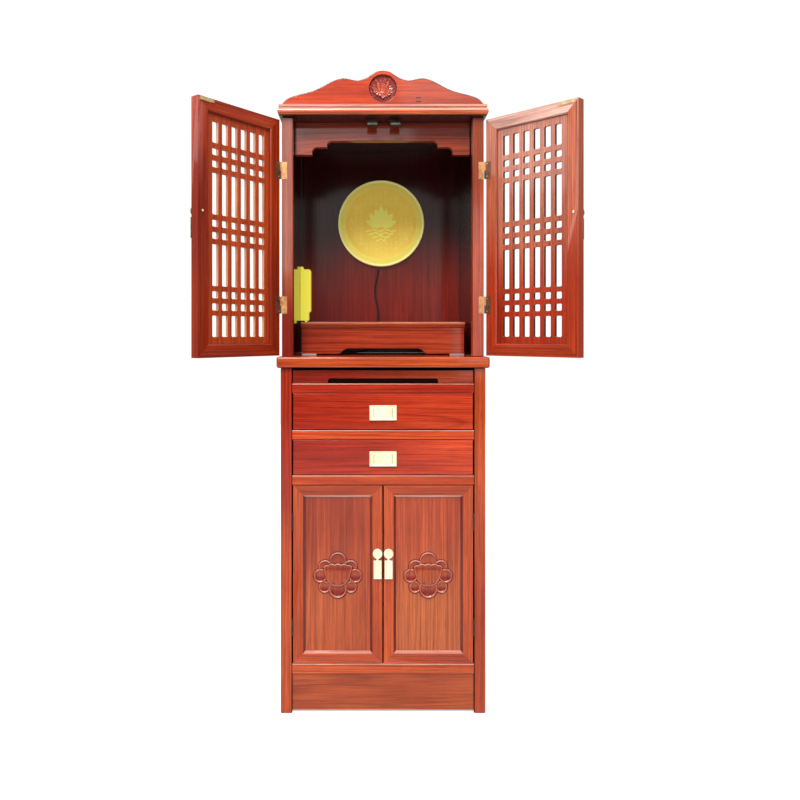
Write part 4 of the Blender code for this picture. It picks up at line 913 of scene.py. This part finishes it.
crest_wood = lacquered_wood("lacquer, crest", "X", (0.60, 0.046, 0.002), (0.12, -1.60), 0.1, (0.48, 0.050, 0.009),
                            (-0.10, 0.16), figure=0.25)
carving_wood = lacquered_wood("lacquer, medallion", "X", (0.56, 0.075, 0.022), (0.12, -1.60), figure=0.4,
                              carved=True)
edge_wood = lacquered_wood("lacquer, crest edge", "X", (0.060, 0.008, 0.005), (0.12, -1.60), figure=0.5)
face_y, (middle_x, middle_z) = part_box("crest")[0].y, MEDALLION_MIDDLE


def in_recess(face):
    near = all(math.hypot(v.co.x - middle_x, v.co.z - middle_z) < RECESS_RADIUS for v in face.verts)
    return near and face.calc_center_median().y < face_y + RECESS_DEPTH


def spun(bm, section, steps):
    """Spins a cross-section, given as places in XY, once round the Y axis."""
    line = [bm.verts.new((x, y, 0)) for x, y in section]
    edges = [bm.edges.new(pair) for pair in zip(line, line[1:])]
    bmesh.ops.spin(
        bm, geom=line + edges, cent=(0, 0, 0), axis=(0, 1, 0), angle=2 * math.pi, steps=steps, use_merge=True,
    )
    bmesh.ops.remove_doubles(bm, verts=bm.verts, dist=1e-6)


bm = merged_copy("crest")
bmesh.ops.delete(bm, geom=[face for face in bm.faces if in_recess(face)], context="FACES")
bmesh.ops.delete(bm, geom=[v for v in bm.verts if not v.link_faces], context="VERTS")
extrude_border(bm, lambda vert: setattr(vert.co, "y", face_y + POCKET_DEPTH))
bmesh.ops.contextual_create(bm, geom=[edge for edge in bm.edges if edge.is_boundary])
for face in bm.faces:
    face.material_index = 1 if face.normal.z > 0.25 else 0
crest = finish_piece("crest_board", bm, (crest_wood, edge_wood), "crest")
round_edges(crest, 0.0022).modifiers["Rounded edges"].material = 1

bm = bmesh.new()
spun(bm, [(MEDALLION_RADIUS * 0.999 * ring / RINGS, 0) for ring in range(RINGS + 1)], SPOKES)
displaced(bm, MEDALLION_MIDDLE, face_y + GROUND_DEPTH, medallion_height, 20, 0.8, medallion_darkening)
close_back(bm, face_y + DISC_BACK)
medallion = finish_piece("crest_medallion", bm, carving_wood, "crest")
smooth_faces(medallion, 70)
print("medallion", len(medallion.data.polygons), "faces")

# %% Let two dark plugs into the crest
PLUG_SIZE = (0.0135, 0.0006, 0.0026)
PLUG_X, PLUG_LEVELS = 0.0947, (1.6290, 1.6189)

bm = bmesh.new()
for level in PLUG_LEVELS:
    box_at(bm, (PLUG_X, face_y - 0.0001, level), PLUG_SIZE)
bevel_edges(bm, [edge for edge in bm.edges if runs_back(edge)], 0.0006, 3)
finish_piece("crest_plugs", bm, edge_wood, "crest", replaces=False)
print(len(PLUG_LEVELS), "plugs set")

# %% [markdown]
# ## Brass
#
# The door and drawer pulls are cast brass with a pale, satin gilding. The strike plates are plainer
# brass, the pulls of the lattice doors a dark brass that is painted shade, and the hinges are a redder
# brass, browned on the doors' own leaves. The catches are a bronzed and a dull steel, and the screws
# bare steel. Each metal is one base colour with a cloud of darker tarnish over it, and a faint bump from
# polishing.

# %% Make the metals
def worn_metal(name, colour, tarnish, roughness, metallic, scale=60.0):
    material, tree, shader = new_material(name)
    place = object_place(tree)
    clouds, polish = noise(tree, place, scale, 4, 0.6), noise(tree, place, 900)
    set_inputs(shader, {
        "Base Color": colour_ramp(tree, clouds, (0.38, tarnish), (0.56, colour)),
        "Roughness": colour_ramp(tree, polish, (0.3, roughness * 0.8), (0.7, roughness * 1.2)),
        "Metallic": metallic,
    })
    add_bump(shader, polish, 0.05, 0.0002)
    return material


pale_brass = worn_metal("pale gilt brass", (0.94, 0.91, 0.68), (0.88, 0.84, 0.56), 0.38, 0.2, 25.0)
olive_brass = worn_metal("brass in shadow", (0.66, 0.68, 0.42), (0.52, 0.52, 0.30), 0.45, 0.3)
red_brass = worn_metal("red brass", (0.74, 0.34, 0.13), (0.50, 0.20, 0.07), 0.36, 0.45)
plate_brass = worn_metal("brass of the strikes", (0.66, 0.44, 0.22), (0.46, 0.28, 0.12), 0.4, 0.4)
# The lattice pulls are a dark brass: painted shade, as they are lit from behind.
shaded_brass = worn_metal("brass, painted shade", (0.24, 0.15, 0.07), (0.14, 0.08, 0.035), 0.42, 0.4)
leaf_bronze = worn_metal("browned brass", (0.20, 0.085, 0.040), (0.11, 0.045, 0.022), 0.4, 0.5)
bronzed = worn_metal("bronzed steel", (0.075, 0.050, 0.034), (0.040, 0.026, 0.018), 0.42, 0.6)
bare_steel = worn_metal("bare steel", (0.62, 0.56, 0.46), (0.44, 0.38, 0.30), 0.35, 0.5)
dull_steel = worn_metal("dull steel", (0.10, 0.080, 0.060), (0.06, 0.048, 0.036), 0.4, 0.5)
print(len(bpy.data.materials), "materials so far")

# %% [markdown]
# ## Drawer pulls
#
# A drawer pull is a plate with a raised border. The border slopes down to a sunk field, in which a
# bail, a flat handle, lies between its two arms. The plate is a cube whose front is inset and pushed
# back, so border, slope and field come from one face.

# %% Model the drawer pulls
ARM_X, ARM_SIZE, ARM_DEPTH = 0.0245, (0.0020, 0.0240), 0.0008
BAIL_SIZE, BAIL_DEPTH = (0.0410, 0.0280), 0.0004
FIELD_DEPTH = 0.0030


def bordered_plate(bm, low, high, border, sunk, slope):
    """A plate with rounded corners and a raised border round a sunk field."""
    verts = box_shape(bm, low, high)
    bm.normal_update()
    front = min({face for vert in verts for face in vert.link_faces}, key=lambda face: face.normal.y)
    corners = [edge for edge in {edge for vert in verts for edge in vert.link_edges} if runs_back(edge)]
    bmesh.ops.inset_region(bm, faces=[front], thickness=border, depth=0)
    bmesh.ops.inset_region(bm, faces=[front], thickness=slope, depth=-sunk)
    bevel_edges(bm, corners, 0.0016, 4)


def drawer_pull(node):
    low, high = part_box(node)
    middle = (low + high) / 2
    bm = bmesh.new()

    def bar(x, size, depth, rounding):
        half_x, half_z = size[0] / 2, size[1] / 2
        rounded_box(bm, (middle.x + x - half_x, low.y + depth, middle.z - half_z),
                    (middle.x + x + half_x, low.y + FIELD_DEPTH, middle.z + half_z), rounding)

    for sign in (-1, 1):
        bar(sign * ARM_X, ARM_SIZE, ARM_DEPTH, 0.0006)
    for face in bm.faces:
        face.material_index = 1
    bordered_plate(bm, low, high, 0.0035, 0.0018, 0.0030)
    bar(0, BAIL_SIZE, BAIL_DEPTH, 0.0008)
    bmesh.ops.recalc_face_normals(bm, faces=bm.faces)
    round_edges(finish_piece(node + "_plate", bm, (pale_brass, olive_brass), node), 0.0005)


for level in ("upper", "lower"):
    drawer_pull(f"drawer_{level}_pull")
print("drawer pulls done")

# %% [markdown]
# ## Door pulls
#
# Each cupboard door has a round rose with a raised rim, from which a flat pendant hangs by a narrow
# neck. The rose is a circle, filled, inset and extruded. The pendant is a plate like the drawers' one,
# smaller and narrower.

# %% Model the door pulls
ROSE_RADIUS = 0.0126
ROSE_STEPS = (  # inset, and how far forward, from the edge inwards
    (0.0008, 0.0007), (0.0014, 0.0), (0.0010, -0.0009), (0.0060, 0.0002), (0.0030, 0.0004),
)
PENDANT_HALF_WIDTH, PENDANT_HEIGHT, PENDANT_DEPTH = 0.0105, 0.0484, 0.0034


def raised(bm, face, offset):
    """Extrudes one face by an offset along Y and returns its new front."""
    grown = bmesh.ops.extrude_face_region(bm, geom=[face])["geom"]
    top = next(item for item in grown if isinstance(item, bmesh.types.BMFace))
    bmesh.ops.translate(bm, vec=(0, offset, 0), verts=top.verts)
    return top


def rose(bm, middle, back_y, front_y):
    made = bmesh.ops.create_circle(
        bm, cap_ends=True, radius=ROSE_RADIUS, segments=64,
        matrix=Matrix.Translation((middle[0], back_y, middle[1])) @ Matrix.Rotation(math.pi / 2, 4, "X"),
    )["verts"]
    top = raised(bm, made[0].link_faces[0], front_y - back_y + ROSE_STEPS[0][1])
    for thickness, forward in ROSE_STEPS:
        bmesh.ops.inset_region(bm, faces=[top], thickness=thickness)
        bmesh.ops.translate(bm, vec=(0, -forward, 0), verts=top.verts)


def door_pull(node):
    low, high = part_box(node)
    middle_x = (low.x + high.x) / 2
    bm = bmesh.new()
    rose(bm, (middle_x, high.z - ROSE_RADIUS), high.y, low.y + 0.0008)
    rounded_box(bm, (middle_x - 0.0030, low.y + 0.0015, low.z + 0.0470),
                (middle_x + 0.0022, high.y - 0.0010, high.z - 2 * ROSE_RADIUS + 0.0030), 0.0007)
    bordered_plate(
        bm, (middle_x - PENDANT_HALF_WIDTH, low.y, low.z),
        (middle_x + PENDANT_HALF_WIDTH, low.y + PENDANT_DEPTH, low.z + PENDANT_HEIGHT), 0.0022, 0.0007, 0.0010,
    )
    bmesh.ops.recalc_face_normals(bm, faces=bm.faces)
    round_edges(finish_piece(node + "_cast", bm, pale_brass, node), 0.0004)


for side in ("left", "right"):
    door_pull(f"door_pull_{side}")
print("door pulls done")

# %% [markdown]
# ## Hinges, catches and screws
#
# The leaves of the hinges, the catches under the roof and the strike plates on the doors are simple
# enough for the board treatment: their own shape, with rounded edges and a metal. What makes them look
# real is the screws. A screw head is a low dome with a slot, a dark bar laid across it as painted
# shade, made once by a helper and then set on each leaf, along the direction that the leaf faces.

# %% Dress the hinges and catches
CATCH_HOOK_TOP = 1.5655

for side in ("left", "right"):
    for level in ("upper", "lower"):
        dress_board(f"case_leaf_{level}_{side}", red_brass, 0.0005)
        dress_board(f"door_leaf_{level}_{side}", leaf_bronze, 0.0005)
        dress_board(f"door_hinge_{level}_{side}", bronzed, 0.0004)
    dress_board(f"strike_plate_{side}", plate_brass, 0.0003)
    dress_board(f"lattice_pull_{side}", shaded_brass, 0.0008)
    catch = merged_copy(f"catch_{side}")
    for face in catch.faces:
        face.material_index = 1 if face.calc_center_median().z < CATCH_HOOK_TOP else 0
    round_edges(finish_piece(f"catch_{side}_dressed", catch, (bronzed, dull_steel), f"catch_{side}"), 0.0004)
print("hinges and catches dressed")

# %% Set the screws
HINGE_AXIS_X, HINGE_AXIS_Y = 0.273, -0.0883
CASE_LEAF_X, CASE_LEAF_Y = 0.2605, -0.0908
LEAF_LEVELS = [low_z + offset for low_z in (1.0545, 1.4140) for offset in (0.006, 0.040)]
DOOR_SCREW = (0.0085, 0.0022)  # along the door and out of its face
DOOR_DOT = (0.2600, 0.0013, 1.2970)  # the same, and up
DOME = ((0.12, 0.45), (0.22, 0.35), (0.30, 0.20))  # inset as a share of the radius, rise of the height


def screw_head(bm, place, facing, radius, height=0.0007):
    """Adds a low domed head with a slot, which looks along facing. The slot is a dark bar, painted shade."""
    turn = Vector(facing).normalized().to_track_quat("Z", "Y").to_matrix().to_4x4()
    made = bmesh.ops.create_circle(bm, cap_ends=True, radius=radius, segments=20)["verts"]
    face = made[0].link_faces[0]
    verts = set(made)
    for inset, rise in DOME:
        bmesh.ops.inset_region(bm, faces=[face], thickness=radius * inset)
        bmesh.ops.translate(bm, vec=(0, 0, height * rise), verts=face.verts)
        verts.update(face.verts)
    if face.normal.z < 0:
        bmesh.ops.reverse_faces(bm, faces=list({f for v in verts for f in v.link_faces}))
    # The slot is a dark bar laid over the dome, painted shade where a groove would be.
    half_long, half_wide = radius * 0.75, radius * 0.13
    slot = box_shape(bm, (-half_long, -half_wide, height * 0.55), (half_long, half_wide, height * 1.08))
    for item in {f for v in slot for f in v.link_faces}:
        item.material_index = 1
    verts.update(slot)
    bmesh.ops.transform(bm, matrix=Matrix.Translation(place) @ turn, verts=list(verts))


def screws(name, node, places, facing, material=bare_steel, radius=0.0021):
    bm = bmesh.new()
    for place in places:
        screw_head(bm, place, facing, radius)
    smooth_faces(finish_piece(name, bm, (material, bronzed), node, replaces=False), 50)


screws("case_leaf_screws", "case_leaf_upper_left",
       [(x, CASE_LEAF_Y, z) for x in (-CASE_LEAF_X, CASE_LEAF_X) for z in LEAF_LEVELS], (0, -1, 0))
for side, sign in (("left", 1), ("right", -1)):
    node, across = f"door_leaf_upper_{side}", across_door[side]
    inwards = Vector((-across.y, across.x, 0))

    def on_door(along, out, level):
        return Vector((-sign * HINGE_AXIS_X, HINGE_AXIS_Y, level)) + across * sign * along + inwards * out

    screws(f"door_leaf_screws_{side}", node, [on_door(*DOOR_SCREW, z) for z in LEAF_LEVELS], inwards, radius=0.0018)
    screws(f"door_dot_{side}", node, [on_door(*DOOR_DOT)], inwards, pale_brass, 0.0029)
print("screws set")

# %% [markdown]
# ## The lamp
#
# The round lamp on the back wall is a gilt plastic disc, with a faint glow of its own. From its edge
# inwards it has a thin bright rim, a plain band and a flat field. Spinning half of its cross-section
# about the middle makes all three at once. The field carries rows of shallow strokes and a lotus over
# water, in paler relief. The strokes are short bars, laid out row by row from a seeded random order, so
# that each run gives the same disc.

# %% Spin the lamp's disc
LAMP_MIDDLE = Vector((0.003, 0.2757, 1.3507))
LAMP_RADIUS = 0.1364
FIELD_SHARE, RIM_SHARE = 0.817, 0.96
FIELD_SUNK = 0.0022
LAMP_SECTION = (  # share of the radius, and depth behind the front, in m
    *((share, FIELD_SUNK) for share in (0.0, 0.20, 0.40, 0.60, FIELD_SHARE - 0.008)),
    (FIELD_SHARE, 0.0014), (FIELD_SHARE + 0.008, 0.0012), (0.90, 0.0010), (0.955, 0.0009), (0.968, 0.0002),
    (0.980, 0.0), (0.992, 0.0005), (1.0, 0.0022), (1.0, 0.0120), (0.985, 0.0145),
)


def gilt_plastic(name, colour, roughness=0.60):
    """A gilt with a faint glow and fine flakes."""
    material, tree, shader = new_material(name)
    flakes = noise(tree, object_place(tree), 420, 3, 0.6)
    specks = colour_ramp(tree, flakes, (0.35, (0.90, 0.90, 0.88)), (0.65, (1.06, 1.06, 1.08)))
    tone = blend_colours(tree, "MULTIPLY", 1.0, colour, specks)
    set_inputs(shader, {
        "Base Color": tone, "Emission Color": tone, "Emission Strength": 0.16, "Roughness": roughness,
        "Metallic": 0.15,
    })
    add_bump(shader, flakes, 0.05, 0.0002)
    return material


rim_gilt = gilt_plastic("gilt rim", (0.95, 0.94, 0.365), 0.5)
band_gilt = gilt_plastic("gilt band", (0.91, 0.76, 0.13))
field_gilt = gilt_plastic("gilt field", (0.93, 0.66, 0.0875))
stroke_gilt = gilt_plastic("gilt strokes", (0.96, 0.78, 0.17))
emblem_gilt = gilt_plastic("gilt emblem", (0.96, 0.92, 0.18))

bm = bmesh.new()
spun(bm, [(share * LAMP_RADIUS, depth) for share, depth in LAMP_SECTION], 128)
close_back(bm)
for face in bm.faces:
    middle = face.calc_center_median()
    share = math.hypot(middle.x, middle.z) / LAMP_RADIUS
    if abs(face.normal.y) > 0.9 and share < 0.05 and middle.y > 0.01:
        face.material_index = 1
    else:
        face.material_index = 2 if share < FIELD_SHARE - 0.004 else 1 if share < RIM_SHARE else 0
bmesh.ops.translate(bm, vec=LAMP_MIDDLE, verts=bm.verts)
lamp = finish_piece("lamp_disc", bm, (rim_gilt, band_gilt, field_gilt), "disc_lamp")
smooth_faces(lamp, 40)
print("lamp disc", len(lamp.data.polygons), "faces")

# %% Lay the strokes
PITCH = 15.8
LINE, LONG, SHORT = 1.9, 11.5, 8.5
MARKS = (  # each of a few bars: across, up, width and height, in mm
    ((0, -4.5, LONG, LINE), (0, 0, LONG, LINE), (0, 4.5, LONG, LINE)),
    ((0, 4.5, LONG, LINE), (-4, -2.2, LINE, SHORT), (4, -2.2, LINE, SHORT)),
    ((-4.5, 0, LINE, LONG), (1.6, 3.8, SHORT, LINE), (1.6, -3.8, SHORT, LINE)),
    ((0, 1.0, LINE, 9.5), (0, -4.8, LONG, LINE)),
)


def on_field(x, z):
    """A place on the lamp's field, from millimetres across and up from its middle."""
    return Vector((LAMP_MIDDLE.x + x / 1000, LAMP_MIDDLE.y + FIELD_SUNK, LAMP_MIDDLE.z + z / 1000))


def stroke(bm, x, z, width, height, rise=0.0006, turn_deg=0.0):
    """A bar on the field, rise proud of it. All but the rise are in mm."""
    half_x, half_z = width / 2000, height / 2000
    verts = box_shape(bm, (-half_x, -rise, -half_z), (half_x, 0.0003, half_z))
    turn = Matrix.Rotation(math.radians(turn_deg), 4, "Y")
    bmesh.ops.transform(bm, verts=verts, matrix=Matrix.Translation(on_field(x, z)) @ turn)


strokes = bmesh.new()
order = random.Random(7)
for row in range(-6, 7):
    for column in range(-6, 7):
        x, z = column * PITCH, row * PITCH
        if math.hypot(x, z) < 97 and (abs(x) > 55 or abs(z) > 62):
            for across, up, width, height in MARKS[order.randrange(len(MARKS))]:
                stroke(strokes, x + across, z + up, width, height)
bmesh.ops.recalc_face_normals(strokes, faces=strokes.faces)
finish_piece("lamp_strokes", strokes, stroke_gilt, "disc_lamp")
print("strokes laid")

# %% Raise the lotus over the water
EMBLEM_PETALS = (  # tip across and up, half width, in mm
    (-49, 8, 9.5), (49, 8, 9.5), (-37, 31, 11.0), (37, 31, 11.0), (-18, 46, 10.0), (18, 46, 10.0), (0, 56, 11.0),
)
PETAL_OUTLINE = ((0.0, 0.15), (0.20, 0.75), (0.45, 1.0), (0.70, 0.80), (0.88, 0.42), (1.0, 0.0))
WATER = ((-22, 49, 5), (-32, 39, 5), (-42, 28, 3), (-52, 16, 3))  # up and half width in mm, bars


def flat_petal(bm, tip_x, tip_z, width, rise):
    """A pointed petal, rise proud of the field, from near the flower's foot to its tip."""
    start, tip = on_field(tip_x * 0.12, -12), on_field(tip_x, tip_z)
    run = tip - start
    side = Vector((run.z, 0, -run.x)).normalized() * width / 1000
    outline = [start + run * a + side * b for a, b in PETAL_OUTLINE]
    outline += [start + run * a - side * b for a, b in reversed(PETAL_OUTLINE[:-1])]
    top = raised(bm, bm.faces.new([bm.verts.new(point) for point in outline]), -rise)
    bmesh.ops.inset_region(bm, faces=[top], thickness=0.0009, depth=0)
    bmesh.ops.translate(bm, vec=(0, 0.0004, 0), verts=top.verts)


emblem = bmesh.new()
for index, petal in enumerate(EMBLEM_PETALS):
    flat_petal(emblem, *petal, 0.0009 + 0.0001 * index)
for row, half, count in WATER:
    for index in range(count):
        way = 1 if index % 2 else -1
        x = -half + 2 * half * (index + 0.5) / count
        stroke(emblem, x, row + 1.7 * way, 1.9 * half / count, 4.2, 0.0010, 16 * way)
bmesh.ops.recalc_face_normals(emblem, faces=emblem.faces)
finish_piece("lamp_emblem", emblem, emblem_gilt, "disc_lamp")
print("emblem raised")

# %% [markdown]
# ## The driver box
#
# The lamp's driver is a yellow plastic box in the left corner. It keeps its shape, with softly rounded
# edges, and the line where its lid meets its body is a thin raised bead. The plastic has a painted
# glow, which makes it brighter than its light alone would, and moulding has left it with a fine
# texture. Under the stand's frame two strips of grey felt serve as pads.

# %% Dress the driver and the pads
DRIVER_BEAD = ((-0.2508, 0.2563, 1.1885), (-0.2200, 0.2600, 1.1903))
PAD_ENDS = ((-0.2275, -0.186), (0.1935, 0.2335))

# The glow is painted light: the driver is no lamp.
yellow = speckled("yellow plastic", 300, 3, 0.15, (0.80, 0.72, 0.055), (0.90, 0.84, 0.10), 0.38, 0.06, glow=0.65)
dress_board("driver_box", yellow, 0.0012)
bm = bmesh.new()
rounded_box(bm, *DRIVER_BEAD, 0.0004)
finish_piece("driver_bead", bm, yellow, "driver_box").data.shade_smooth()

felt = speckled("grey felt", 700, 4, 0.15, (0.34, 0.30, 0.30), (0.52, 0.47, 0.46), 0.95, 0.4, 0.7, 0.0004)
bm = bmesh.new()
for left, right in PAD_ENDS:
    rounded_box(bm, (left, 0.0341, 0.9404), (right, 0.0352, 0.9438), 0.0004, 2)
finish_piece("stand_pads", bm, felt, "stand_frame", replaces=False)
print("driver and pads done")
